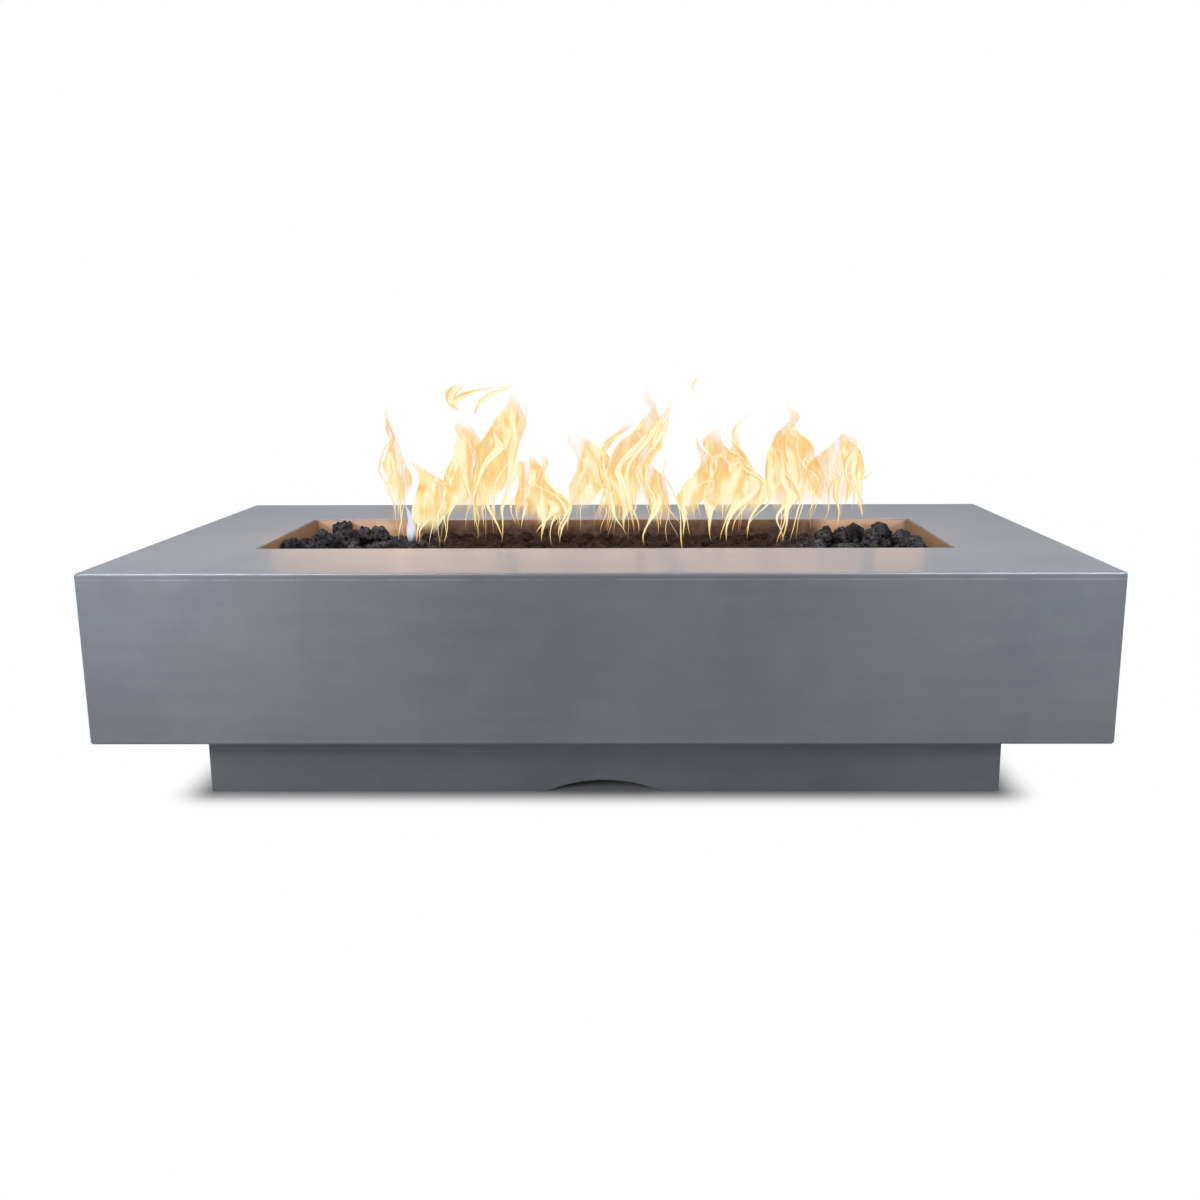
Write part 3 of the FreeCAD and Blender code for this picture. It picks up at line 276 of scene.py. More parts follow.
linerLook = {
    "tan": tint(0.92, 0.67, 0.50),
    "shade": tint(0.82, 0.58, 0.42),
    "endWallShade": tint(0.46, 0.32, 0.215),
    # the pale rim is a painted highlight along the liner's top edge
    "rim": tint(0.96, 0.80, 0.68),
    "soot": tint(0.022, 0.010, 0.004),
    "smoked": tint(0.092, 0.045, 0.018),
    "cloudSize": 0.09,
    "cloudRange": (0.35, 0.65),
    # the two end walls are painted darker than the back wall: painted shade
    "endRange": (0.560, 0.569),
    # the soot ends at this distance along x, moved to and fro by the cloud
    "sootRange": (0.35, 0.44, 1.0, 0.0),
    "sootSway": 0.16,
    "sootHeights": (0.356, 0.392, 1.0, 0.88),
    "smokeHeights": (0.356, 0.382),
    "patchSize": 0.03,
    "patchRange": (0.25, 0.7, 0.86, 1.0),
    "rimHeights": (0.3794, 0.3802, 0.0, 0.8),
    "grainSize": 0.0009,
    "grainDepth": 0.00015,
}


def tanCoating(look):
    # A matt baked coating, sooted where the flames stand against it, with painted shade on its end walls
    # and a painted highlight along its top edge
    finish = Finish("tanLinerCoating")
    where = finish.place()
    cloud = finish.clouds(where, look["cloudSize"], 4, 0.6, 0.4)
    colour = finish.blend(finish.between(cloud, *look["cloudRange"]), look["shade"], look["tan"])
    height = finish.axis(where, "Z")
    outward = finish.size(finish.axis(where, "X"))
    # Painted shade: the end walls are darker than the back wall
    colour = finish.blend(finish.between(outward, *look["endRange"]), colour, look["endWallShade"])
    along = outward + (cloud - 0.5) * look["sootSway"]
    middle = finish.between(along, *look["sootRange"])
    low = finish.between(height, *look["sootHeights"])
    ragged = finish.between(finish.clouds(where, look["patchSize"], 5, 0.65, 0.8), *look["patchRange"])
    burnt = finish.blend(finish.between(height, *look["smokeHeights"]), look["soot"], look["smoked"])
    colour = finish.blend(middle * low * ragged * 0.97, colour, burnt)
    # Painted highlight: a thin pale band along the top edge of the liner
    colour = finish.blend(finish.between(height, *look["rimHeights"]), colour, look["rim"])
    grain = finish.clouds(where, look["grainSize"], 2, 0.5)
    skin = finish.bump(grain, look["grainDepth"], 0.6)
    return finish.surface(colour, 0.62 + cloud * 0.12, skin, {"Specular IOR Level": 0.2})


rockLook = {
    "black": tint(0.016, 0.016, 0.018),
    "grey": tint(0.118, 0.125, 0.146),
    "brown": tint(0.021, 0.0098, 0.0048),
    # the pits are painted near black: painted shade in the hollows
    "pit": tint(0.010, 0.010, 0.011),
    "crumb": tint(0.15, 0.15, 0.165),
    "toneSize": 0.026,
    "toneRange": (0.36, 0.68),
    "pitSize": 0.0055,
    "pitDepth": 0.0030,
    "pitRange": (0.10, 0.42),
    "crumbSize": 0.0021,
    "crumbDepth": 0.0008,
    "crumbRange": (0.58, 0.74, 0.0, 0.45),
    # brown from the fire along the middle; the front row is left greyer as painted light where the lamps
    # reach it, and the rows behind carry painted shade
    "bakedSway": 0.3,
    "bakedRange": (0.30, 0.44, 0.92, 0.0),
    "litFrontSway": 0.1,
    "litFrontRange": (-0.160, -0.120, 0.65, 1.0),
}


def lavaStone(look):
    finish = Finish("lavaStone")
    where = finish.place()
    tone = finish.clouds(where, look["toneSize"], 5, 0.65, 0.5)
    pits = finish.cells(where, look["pitSize"], "SMOOTH_F1")
    finePits = finish.cells(where, look["pitSize"] * 0.45)
    crumb = finish.clouds(where, look["crumbSize"], 3, 0.6)
    open = finish.between(pits, *look["pitRange"])
    colour = finish.blend(finish.between(tone, *look["toneRange"]), look["black"], look["grey"])
    # Painted shade: the pits are darkened
    colour = finish.blend(1 - open, colour, look["pit"])
    colour = finish.blend(finish.between(crumb, *look["crumbRange"]), colour, look["crumb"])
    # Fire browning along the middle, with painted light on the front row and painted shade on the rows
    # behind it
    along = finish.size(finish.axis(where, "X")) + (tone - 0.5) * look["bakedSway"]
    inward = finish.axis(where, "Y") + (tone - 0.5) * look["litFrontSway"]
    bakedAndShaded = finish.between(along, *look["bakedRange"]) * finish.between(inward, *look["litFrontRange"])
    colour = finish.blend(bakedAndShaded, colour, look["brown"])
    skin = finish.bump(open, look["pitDepth"], 0.85)
    skin = finish.bump(finePits, look["pitDepth"] * 0.4, 0.8, skin)
    skin = finish.bump(crumb, look["crumbDepth"], 0.9, skin)
    return finish.surface(colour, 0.58 + crumb * 0.25, skin, {"Specular IOR Level": 0.06})


metal = {"Metallic": 1.0}

steelLook = {
    "tone": (0.60, 0.59, 0.57),
    "brushing": (1, 1, 60),
    "lineSize": 0.014,
    "lineRange": (0.32, 0.68),
    "lineDepth": 0.00012,
    "cloudSize": 0.05,
}


def brushedSteel(look):
    finish = Finish("brushedSteel")
    lines = finish.clouds(finish.place(look["brushing"]), look["lineSize"], 4, 0.6)
    cloud = finish.clouds(finish.place(), look["cloudSize"], 3, 0.5)
    brushed = finish.between(lines, *look["lineRange"])
    colour = finish.blend(brushed * 0.7 + cloud * 0.3, shaded(look["tone"], 0.72), tint(*look["tone"]))
    skin = finish.bump(lines, look["lineDepth"], 0.7)
    return finish.surface(colour, 0.20 + lines * 0.20 + cloud * 0.06, skin, metal)


# Stainless steel that a fire has tinted straw and blue
heatedLook = {
    "stops": [(0.30, (0.36, 0.33, 0.30)), (0.46, (0.40, 0.30, 0.19)), (0.56, (0.24, 0.20, 0.24)),
              (0.68, (0.17, 0.20, 0.27))],
    "cloudSize": 0.06,
    "grainSize": 0.002,
    "grainDepth": 0.00005,
}


def heatedSteel(look):
    finish = Finish("heatedSteel")
    where = finish.place()
    cloud = finish.clouds(where, look["cloudSize"], 4, 0.6, 0.5)
    colour = finish.node("ValToRGB", {"stops": look["stops"]}, {"Fac": cloud}, "Color")
    grain = finish.clouds(where, look["grainSize"], 3, 0.5)
    return finish.surface(colour, 0.34 + grain * 0.2, finish.bump(grain, look["grainDepth"], 0.5), metal)


zincLook = {
    "dark": tint(0.46, 0.48, 0.50),
    "pale": tint(0.66, 0.67, 0.66),
    "flakeSize": 0.0035,
    "hazeSize": 0.03,
    "hazeDepth": 0.0001,
}


def zincPlate(look):
    finish = Finish("zincPlate")
    where = finish.place()
    sparkle = finish.red(finish.cells(where, look["flakeSize"], output="Color"))
    haze = finish.clouds(where, look["hazeSize"], 4, 0.6)
    colour = finish.blend(sparkle * 0.5 + haze * 0.4, look["dark"], look["pale"])
    return finish.surface(colour, 0.34 + haze * 0.14, finish.bump(haze, look["hazeDepth"], 0.4), metal)


# Sizes and depths of the grain that the plainer metals and plastics share
grainLook = {
    "sandSize": 0.0012,
    "sandDepth": 0.00018,
    "castHaze": 0.02,
    "drawing": (4, 60, 60),
    "drawnSize": 0.03,
    "drawnDepth": 0.00004,
    "drawnHaze": 0.03,
    "mouldSize": 0.0007,
    "mouldDepth": 0.00008,
    "wearSize": 0.012,
    "wearRange": (0.5, 0.8, 0.0, 0.35),
}


def castMetal(name, tone, sheen=0.42, look=grainLook):
    finish = Finish(name)
    where = finish.place()
    sand = finish.clouds(where, look["sandSize"], 3, 0.6)
    haze = finish.clouds(where, look["castHaze"], 3, 0.5)
    colour = finish.blend(haze, shaded(tone, 0.78), tint(*tone))
    return finish.surface(colour, sheen + sand * 0.18, finish.bump(sand, look["sandDepth"], 0.6), metal)


def drawnTube(name, tone, look=grainLook):
    finish = Finish(name)
    lines = finish.clouds(finish.place(look["drawing"]), look["drawnSize"], 3, 0.6)
    haze = finish.clouds(finish.place(), look["drawnHaze"], 3, 0.5)
    colour = finish.blend(haze, shaded(tone, 0.82), tint(*tone))
    return finish.surface(colour, 0.26 + lines * 0.2, finish.bump(lines, look["drawnDepth"], 0.5), metal)


def mouldedPlastic(name, tone, sheen=0.36, look=grainLook):
    finish = Finish(name)
    where = finish.place()
    grain = finish.cells(where, look["mouldSize"], "SMOOTH_F1")
    wear = finish.clouds(where, look["wearSize"], 4, 0.6)
    worn = shaded(tone, 1.9, 0.01)
    colour = finish.blend(finish.between(wear, *look["wearRange"]), tint(*tone), worn)
    return finish.surface(colour, sheen + wear * 0.14, finish.bump(grain, look["mouldDepth"], 0.5))


ceramicLook = {
    "dark": tint(0.72, 0.71, 0.68),
    "pale": tint(0.80, 0.79, 0.76),
    "hazeSize": 0.008,
    "hazeDepth": 0.0001,
}


def glazedCeramic(look):
    finish = Finish("glazedCeramic")
    haze = finish.clouds(finish.place(), look["hazeSize"], 3, 0.5)
    colour = finish.blend(haze, look["dark"], look["pale"])
    skin = finish.bump(haze, look["hazeDepth"], 0.3)
    return finish.surface(colour, 0.2 + haze * 0.08, skin, {"Coat Weight": 0.3, "Coat Roughness": 0.08})


# A plain two-tone jacket: a copper-coloured band at one end and grey over the rest
jacketLook = {
    "dark": tint(0.10, 0.10, 0.11),
    "pale": tint(0.14, 0.14, 0.15),
    "band": tint(0.46, 0.24, 0.12),
    "bandShare": 0.28,
    "bandBlur": 0.0002,
    "hazeSize": 0.01,
}


def batteryJacket(look):
    finish = Finish("batteryJacket")
    where = finish.place()
    lowest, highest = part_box("igniter_battery")
    ring = highest[0] - (highest[0] - lowest[0]) * look["bandShare"]
    haze = finish.clouds(where, look["hazeSize"], 3, 0.5)
    grey = finish.blend(haze, look["dark"], look["pale"])
    band = finish.between(finish.axis(where, "X"), ring - look["bandBlur"], ring + look["bandBlur"])
    colour = finish.blend(band, grey, look["band"])
    return finish.surface(colour, 0.3 + haze * 0.1, others={"Metallic": 0.3})


slotFinishes = {
    "cast_concrete": castConcrete(concreteLook),
    "tan_liner_coating": tanCoating(linerLook),
    "lava_rock": lavaStone(rockLook),
    "stainless_steel": brushedSteel(steelLook),
    "zinc_plated_steel": zincPlate(zincLook),
    "brass": castMetal("machinedBrass", (0.72, 0.53, 0.25), 0.26),
    "aluminium_tube": drawnTube("aluminiumTube", (0.76, 0.77, 0.78)),
    "cast_aluminium": castMetal("castAluminium", (0.55, 0.56, 0.57)),
    "black_plastic": mouldedPlastic("blackPlastic", (0.018, 0.018, 0.020)),
    "battery_jacket": batteryJacket(jacketLook),
    "white_ceramic": glazedCeramic(ceramicLook),
    "red_silicone": mouldedPlastic("redSilicone", (0.42, 0.030, 0.022), 0.48),
    "copper_lead": drawnTube("copperLead", (0.72, 0.36, 0.20)),
}


heatedNodes = ["burner_rail_front", "burner_rail_back", "burner_crossbar", "burner_hub", "sensor_hood"]


def dressNodes():
    # Every node takes the finish of its slot, then those in the fire get one of their own
    for part in frame["record"]["subparts"]:
        piece = nodes[part["node"]]
        piece.data.materials.clear()
        piece.data.materials.append(slotFinishes[part["material_slot"]])
    heated = heatedSteel(heatedLook)
    for name in heatedNodes:
        nodes[name].data.materials[0] = heated


dressNodes()
print("finishes on the nodes:", len(slotFinishes))


# Modelling helpers

def leaveEdit():
    bpy.ops.object.mode_set(mode="OBJECT")


def dropSelection():
    bpy.ops.object.select_all(action="DESELECT")


def pick(piece, *others):
    dropSelection()
    for each in (piece, *others):
        each.select_set(True)
    bpy.context.view_layer.objects.active = piece


def editAll(piece):
    pick(piece)
    bpy.ops.object.mode_set(mode="EDIT")
    bpy.ops.mesh.select_all(action="SELECT")


def settle(piece):
    # Place, turn and size go into the mesh, and the object goes back to the origin
    pick(piece)
    bpy.ops.object.transform_apply(location=True, rotation=True, scale=True)


def useModifier(piece, kind, **settings):
    pick(piece)
    added = piece.modifiers.new(kind.lower(), kind)
    for key, value in settings.items():
        setattr(added, key, value)
    bpy.ops.object.modifier_apply(modifier=added.name)


def copyOf(piece, name):
    twin = bpy.data.objects.new(name, piece.data.copy())
    bpy.context.collection.objects.link(twin)
    return twin


mergeSettings = {"distance": 0.00001, "smoothAngle": 30}


def mergedCopy(node, name):
    # A CAD node's mesh is loose triangles with normals of their own: a copy is merged and shaded anew
    twin = copyOf(nodes[node], name)
    editAll(twin)
    bpy.ops.mesh.customdata_custom_splitnormals_clear()
    bpy.ops.mesh.remove_doubles(threshold=mergeSettings["distance"])
    leaveEdit()
    bpy.ops.object.shade_smooth_by_angle(angle=math.radians(mergeSettings["smoothAngle"]))
    return twin


def joinAll(pieces, name):
    pick(*pieces)
    bpy.ops.object.join()
    joined = bpy.context.object
    joined.name = name
    joined.data.name = name
    return joined


def place(piece, finish, body="table", slotName=None):
    piece.data.materials.clear()
    piece.data.materials.append(finish)
    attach(piece, body)
    print("made", piece.name, len(piece.data.polygons), "faces")


def placeRock(rock):
    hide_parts("lava_rocks")
    place(rock, slotFinishes["lava_rock"], slotName="lava_rock")


def smooth(piece):
    pick(piece)
    bpy.ops.object.shade_smooth()


def lumps(name, size, depth=2):
    texture = bpy.data.textures.new(name, "CLOUDS")
    texture.noise_scale = size
    texture.noise_depth = depth
    return texture


# Lava rocks: each keeps the place and outline of its rough block, then is rounded and eaten into

rockSettings = {
    "weld": 0.00002,
    "flatAngle": 1.0,
    "heapHeight": 0.3640,
    "layer": {"name": "lavaRocks", "rounding": 1, "lump": 0.0130, "bite": 0.0060},
    "heap": {"name": "heapRocks", "rounding": 2, "lump": 0.0160, "bite": 0.0085},
    "lumpSize": 0.012,
    "lumpMiddle": 0.46,
    "biteSize": 0.0085,
    "biteMiddle": 0.35,
    "highest": 0.3808,
}


def looseParts(piece):
    # The corner lists of a mesh's separate lumps
    owner = list(range(len(piece.data.vertices)))

    def root(index):
        while owner[index] != index:
            owner[index] = owner[owner[index]]
            index = owner[index]
        return index

    for edge in piece.data.edges:
        first, second = root(edge.vertices[0]), root(edge.vertices[1])
        owner[first] = second
    groups = {}
    for index in range(len(owner)):
        groups.setdefault(root(index), []).append(index)
    return list(groups.values())


def topOf(piece, group):
    return max(piece.data.vertices[index].co.z for index in group)


def roughen(rocks, settings, own):
    useModifier(rocks, "SUBSURF", levels=own["rounding"], render_levels=own["rounding"])
    useModifier(
        rocks, "DISPLACE", texture=lumps(own["name"] + "Lumps", settings["lumpSize"]),
        strength=own["lump"], mid_level=settings["lumpMiddle"],
    )
    pits = bpy.data.textures.new(own["name"] + "Pits", "VORONOI")
    pits.noise_scale = settings["biteSize"]
    useModifier(
        rocks, "DISPLACE", texture=pits, strength=own["bite"], mid_level=settings["biteMiddle"],
    )
    # A rock that has grown above the table top sinks as a whole
    for group in looseParts(rocks):
        above = topOf(rocks, group) - settings["highest"]
        if above > 0:
            for index in group:
                rocks.data.vertices[index].co.z -= above
    smooth(rocks)
    placeRock(rocks)


def makeLavaRocks(settings):
    rocks = copyOf(nodes["lava_rocks"], settings["layer"]["name"])
    editAll(rocks)
    bpy.ops.mesh.customdata_custom_splitnormals_clear()
    bpy.ops.mesh.remove_doubles(threshold=settings["weld"])
    bpy.ops.mesh.dissolve_limited(angle_limit=math.radians(settings["flatAngle"]))
    bpy.ops.mesh.select_all(action="DESELECT")
    leaveEdit()
    for group in looseParts(rocks):
        if topOf(rocks, group) > settings["heapHeight"]:
            for index in group:
                rocks.data.vertices[index].select = True
    pick(rocks)
    bpy.ops.object.mode_set(mode="EDIT")
    bpy.ops.mesh.separate(type="SELECTED")
    leaveEdit()
    heap = [each for each in bpy.context.selected_objects if each != rocks][0]
    heap.name = settings["heap"]["name"]
    roughen(rocks, settings, settings["layer"])
    roughen(heap, settings, settings["heap"])


makeLavaRocks(rockSettings)


# Crumbs of broken rock lie between the rocks, on the bed

crumbSettings = {
    "count": 420,
    "size": (0.0035, 0.0085),
    "narrow": (0.7, 1.0),
    "flat": (0.6, 0.9),
    "ragged": 0.22,
    "chamfer": 0.16,
    "sunk": 0.45,
    "reachX": 0.560,
    "reachY": 0.167,
    "bedTop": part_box("lava_rock_bed")[1][2],
}


def makeCrumbs(settings):
    dropSelection()
    bpy.ops.mesh.primitive_ico_sphere_add(subdivisions=1, radius=1)
    lump = bpy.context.object
    editAll(lump)
    bpy.ops.transform.vertex_random(offset=settings["ragged"], seed=5)
    bpy.ops.mesh.bevel(offset=settings["chamfer"], segments=1, affect="VERTICES")
    leaveEdit()
    chance = random.Random(3)
    crumbs = []
    for index in range(settings["count"]):
        crumb = copyOf(lump, "crumb")
        size = chance.uniform(*settings["size"])
        narrow = chance.uniform(*settings["narrow"])
        crumb.scale = (size, size * narrow, size * chance.uniform(*settings["flat"]))
        crumb.rotation_euler = [chance.uniform(0, math.tau) for turn in range(3)]
        crumb.location = (
            chance.uniform(-settings["reachX"], settings["reachX"]),
            chance.uniform(-settings["reachY"], settings["reachY"]),
            settings["bedTop"] + size * settings["sunk"],
        )
        crumbs.append(crumb)
    bpy.data.objects.remove(lump)
    joined = joinAll(crumbs, "rockCrumbs")
    settle(joined)
    placeRock(joined)


makeCrumbs(crumbSettings)


# The bed between them is no flat floor: a crust of packed lumps lies over it

crustSettings = {
    "cells": (230, 70),
    "lumpSize": 0.016,
    "height": 0.013,
    "middle": 0.6,
    "thick": 0.004,
    "margin": 0.004,
    "sunk": 0.002,
}


def makeCrust(settings):
    low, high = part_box("lava_rock_bed")
    dropSelection()
    across, deep = settings["cells"]
    bpy.ops.mesh.primitive_grid_add(x_subdivisions=across, y_subdivisions=deep, size=1)
    crust = bpy.context.object
    crust.name = "rockCrust"
    crust.scale = (high[0] - low[0] - settings["margin"], high[1] - low[1] - settings["margin"], 1)
    crust.location = (0, 0, high[2] - settings["sunk"])
    settle(crust)
    packed = bpy.data.textures.new("crustLumps", "VORONOI")
    packed.noise_scale = settings["lumpSize"]
    useModifier(
        crust, "DISPLACE", texture=packed, direction="Z", strength=-settings["height"],
        mid_level=settings["middle"],
    )
    useModifier(crust, "SOLIDIFY", thickness=settings["thick"], offset=-1)
    smooth(crust)
    placeRock(crust)


makeCrust(crustSettings)


# The control panel: a dial printed round the knob and a spark by the button, in plain signs

panelSettings = {
    "face": 0.722,
    "proud": 0.0003,
    "sweep": (24, 180),
    "sweepInside": 0.0262,
    "sweepWide": (0.0005, 0.0040),
    "sweepSteps": 24,
    "ticks": 7,
    "tickReach": (0.0316, 0.0346),
    "tickWide": 0.0011,
    # each drop: its place on the dial in degrees, and half its height
    "drops": [(40, 0.0026), (112, 0.0042)],
    "dropReach": 0.0405,
    "dropSteps": 20,
    "dropWide": 0.95,
    # the outline of the spark, in millimetres across and up
    "spark": [(0.9, 5.0), (-2.8, -0.6), (-0.5, -0.6), (-1.1, -5.0), (2.8, 1.0), (0.5, 1.0), (2.3, 5.0)],
    "sparkRise": 0.0245,
    "paint": (0.016, 0.016, 0.018),
    "sheen": 0.55,
}


def makeSign(points, settings):
    # A thin raised plate on the panel, with its outline given as places across and up
    dropSelection()
    bpy.ops.mesh.primitive_circle_add(vertices=len(points), fill_type="NGON")
    sign = bpy.context.object
    for vertex, (across, up) in zip(sign.data.vertices, points):
        vertex.co = (settings["face"], across, up)
    editAll(sign)
    bpy.ops.mesh.extrude_region_move(TRANSFORM_OT_translate={"value": (settings["proud"], 0, 0)})
    bpy.ops.mesh.select_all(action="SELECT")
    bpy.ops.mesh.normals_make_consistent(inside=False)
    leaveEdit()
    return sign


def middleOf(name):
    low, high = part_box(name)
    return (low[1] + high[1]) / 2, (low[2] + high[2]) / 2


def onDial(centre, reach, degrees, aside=0.0):
    # The knob turns from straight up, past the left, to straight down
    turn = math.radians(degrees)
    return (
        centre[0] - reach * math.sin(turn) - aside * math.cos(turn),
        centre[1] + reach * math.cos(turn) - aside * math.sin(turn),
    )


def makePanelSigns(settings):
    knob = middleOf("control_knob")
    signs = []
    first, last = settings["sweep"]
    inside = settings["sweepInside"]
    thin, thick = settings["sweepWide"]
    steps = settings["sweepSteps"]
    outer, inner = [], []
    for step in range(steps + 1):
        share = step / steps
        degrees = first + (last - first) * share
        outer.append(onDial(knob, inside + thin + (thick - thin) * share, degrees))
        inner.append(onDial(knob, inside, degrees))
    signs.append(makeSign(outer + inner[::-1], settings))
    near, away = settings["tickReach"]
    half = settings["tickWide"] / 2
    for index in range(settings["ticks"]):
        degrees = index * last / (settings["ticks"] - 1)
        corners = [(near, -half), (near, half), (away, half), (away, -half)]
        tick = [onDial(knob, reach, degrees, aside) for reach, aside in corners]
        signs.append(makeSign(tick, settings))
    for degrees, size in settings["drops"]:
        across, up = onDial(knob, settings["dropReach"], degrees)
        drop = []
        for step in range(settings["dropSteps"]):
            turn = math.tau * step / settings["dropSteps"]
            aside = settings["dropWide"] * size * math.sin(turn) * math.sin(turn / 2)
            drop.append((across + aside, up + size * math.cos(turn)))
        signs.append(makeSign(drop, settings))
    button = middleOf("igniter_button")
    spark = [
        (button[0] + across / 1000, button[1] + settings["sparkRise"] + up / 1000)
        for across, up in settings["spark"]
    ]
    signs.append(makeSign(spark, settings))
    joined = joinAll(signs, "panelSigns")
    place(joined, mouldedPlastic("signPaint", settings["paint"], settings["sheen"]))


makePanelSigns(panelSettings)


# The knob: the moulded knob with a grip of fine ribs round its skirt and a white line let into it

knobSettings = {
    "ribs": 44,
    "ribSize": (0.0036, 0.0011, 0.0010),
    "ribRise": 0.0002,
    "ribBevel": 0.00035,
    "ribPlace": 0.0027,
    "lineSize": (0.0005, 0.0014, 0.0090),
    "lineTop": 0.0185,
    "lineSunk": 0.0001,
    "lineBevel": 0.0002,
    "white": (0.72, 0.72, 0.70),
    "sheen": 0.5,
}


def makeKnob(settings):
    low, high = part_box("control_knob")
    across, up = middleOf("control_knob")
    radius = (high[1] - low[1]) / 2
    dropSelection()
    ribUp = up + radius - settings["ribSize"][2] / 2 + settings["ribRise"]
    bpy.ops.mesh.primitive_cube_add(size=1, location=(low[0] + settings["ribPlace"], across, ribUp))
    rib = bpy.context.object
    rib.scale = settings["ribSize"]
    settle(rib)
    useModifier(rib, "BEVEL", width=settings["ribBevel"], segments=1)
    pieces = [mergedCopy("control_knob", "knobBody")]
    for index in range(settings["ribs"]):
        twin = copyOf(rib, "knobRib")
        editAll(twin)
        bpy.ops.transform.rotate(
            value=math.tau * index / settings["ribs"], orient_axis="X",
            center_override=(0, across, up),
        )
        leaveEdit()
        pieces.append(twin)
    bpy.data.objects.remove(rib)
    knob = joinAll(pieces, "knobRibbed")
    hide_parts("control_knob")
    place(knob, slotFinishes["black_plastic"], "control_knob", "black_plastic")

    thick, _, length = settings["lineSize"]
    bpy.ops.mesh.primitive_cube_add(size=1, location=(
        high[0] - thick / 2 - settings["lineSunk"], across, up + settings["lineTop"] - length / 2,
    ))
    line = bpy.context.object
    line.name = "knobLine"
    line.scale = settings["lineSize"]
    settle(line)
    useModifier(line, "BEVEL", width=settings["lineBevel"], segments=2)
    place(line, mouldedPlastic("whiteLine", settings["white"], settings["sheen"]), "control_knob")


makeKnob(knobSettings)


# The springs behind the knob and the button: merged copies of their nodes

springSettings = {
    "springs": [("stem_spring", "stemSpring", "knob_push"),
                ("igniter_spring", "igniterSpring", "igniter_press")],
    # how far each control slides, with a little room left for the end of the wire
    "travel": 0.0042,
}


def makeSpring(node, name):
    spring = mergedCopy(node, name)
    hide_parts(node)
    place(spring, slotFinishes["stainless_steel"], slotName="stainless_steel")
    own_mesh(spring)


for node, name, joint in springSettings["springs"]:
    makeSpring(node, name)


# Flames: light, not a part of the table. A tongue is modelled once as a tapering
# shell. Wide copies make thin veils, and narrow ones the bright ribbons that gather into each tip.

flameSettings = {
    "foot": (0.352, 0.384),
    "ribbonFoot": (0.356, 0.402),
    # beyond this place along x the feet climb over the heap of rock
    "climb": (0.33, 0.40),
    # each ring: how far up the tongue it stands, and how wide it is
    "veilRings": [(0.0, 0.26), (0.08, 0.30), (0.18, 0.44), (0.29, 0.74), (0.40, 0.98), (0.52, 1.0),
                  (0.64, 0.78), (0.75, 0.50), (0.85, 0.30), (0.93, 0.15), (1.0, 0.02)],
    "ribbonRings": [(0.0, 0.06), (0.08, 0.14), (0.20, 0.22), (0.36, 0.44), (0.54, 0.86), (0.68, 1.0),
                    (0.80, 0.74), (0.91, 0.38), (1.0, 0.04)],
    "veilSides": 18,
    "ribbonSides": 8,
    "veilDepth": (0.35, 0.6),
    "veilTurn": 25,
    # the air moves a tongue more the higher it reaches, and the folds fade out at its tip
    "swayGrowth": 1.3,
    "tipFade": 2.5,
    # each tongue: place along x, place across y, top, half width, lean
    "tongues": [
        (-0.374, 0.03, 0.615, 0.020, 0.024), (-0.315, -0.07, 0.525, 0.028, -0.018),
        (-0.262, 0.05, 0.590, 0.050, 0.030), (-0.215, -0.02, 0.640, 0.032, 0.055),
        (-0.150, 0.07, 0.530, 0.028, 0.030), (-0.118, -0.075, 0.540, 0.036, 0.006),
        (-0.055, 0.04, 0.565, 0.036, 0.014), (-0.012, -0.05, 0.600, 0.024, 0.018),
        (0.022, 0.07, 0.530, 0.018, -0.006), (0.052, -0.01, 0.650, 0.034, 0.012),
        (0.096, -0.07, 0.548, 0.032, -0.012), (0.155, 0.04, 0.565, 0.020, 0.010),
        (0.215, -0.03, 0.580, 0.048, 0.012), (0.232, 0.07, 0.600, 0.012, 0.002),
        (0.300, -0.06, 0.620, 0.026, -0.006), (0.345, 0.06, 0.585, 0.032, -0.020),
        (0.398, -0.02, 0.575, 0.044, 0.036), (0.440, 0.06, 0.560, 0.014, -0.010),
    ],
    # each wisp: its foot, half width, height, lean and bow
    "wisps": [
        (-0.262, 0.0, 0.594, 0.015, 0.052, 0.018, -0.012),
        (-0.254, 0.01, 0.592, 0.012, 0.050, 0.085, -0.014),
        (-0.232, 0.0, 0.586, 0.007, 0.060, 0.060, 0.010),
        (0.150, 0.03, 0.628, 0.006, 0.026, 0.004, 0.0),
    ],
    "wispTurn": 20,
    # the small blue flame, given like the tongues
    "blue": [(-0.350, -0.03, 0.434, 0.0060, 0.004), (-0.344, -0.02, 0.446, 0.0050, -0.008)],
    "blueDepth": 0.003,
    "blueTurn": 10,
    "ribbons": {"least": 3, "perWidth": 150, "spread": 1.15, "halfWidth": (0.0016, 0.0078),
                "reach": (0.45, 1.02), "bow": 0.010, "aside": 0.03, "depth": (0.3, 0.6), "turn": 40},
    # how strongly the air pulls each mesh, and how deeply it folds
    "stir": {"flames": (1.0, 0.22), "flameRibbons": (1.0, 0.03), "blueFlame": (0.2, 0.05)},
    # along each axis: the share of the sway, and how much wider its air is
    "swayAxes": {"X": (1.0, 1.0), "Y": (0.5, 1.1)},
    "swayWide": {"size": 0.10, "strength": 0.13},
    "swayFine": {"size": 0.040, "strength": 0.040},
    "fold": {"size": 0.022, "strength": 0.040, "squeeze": 0.30},
}

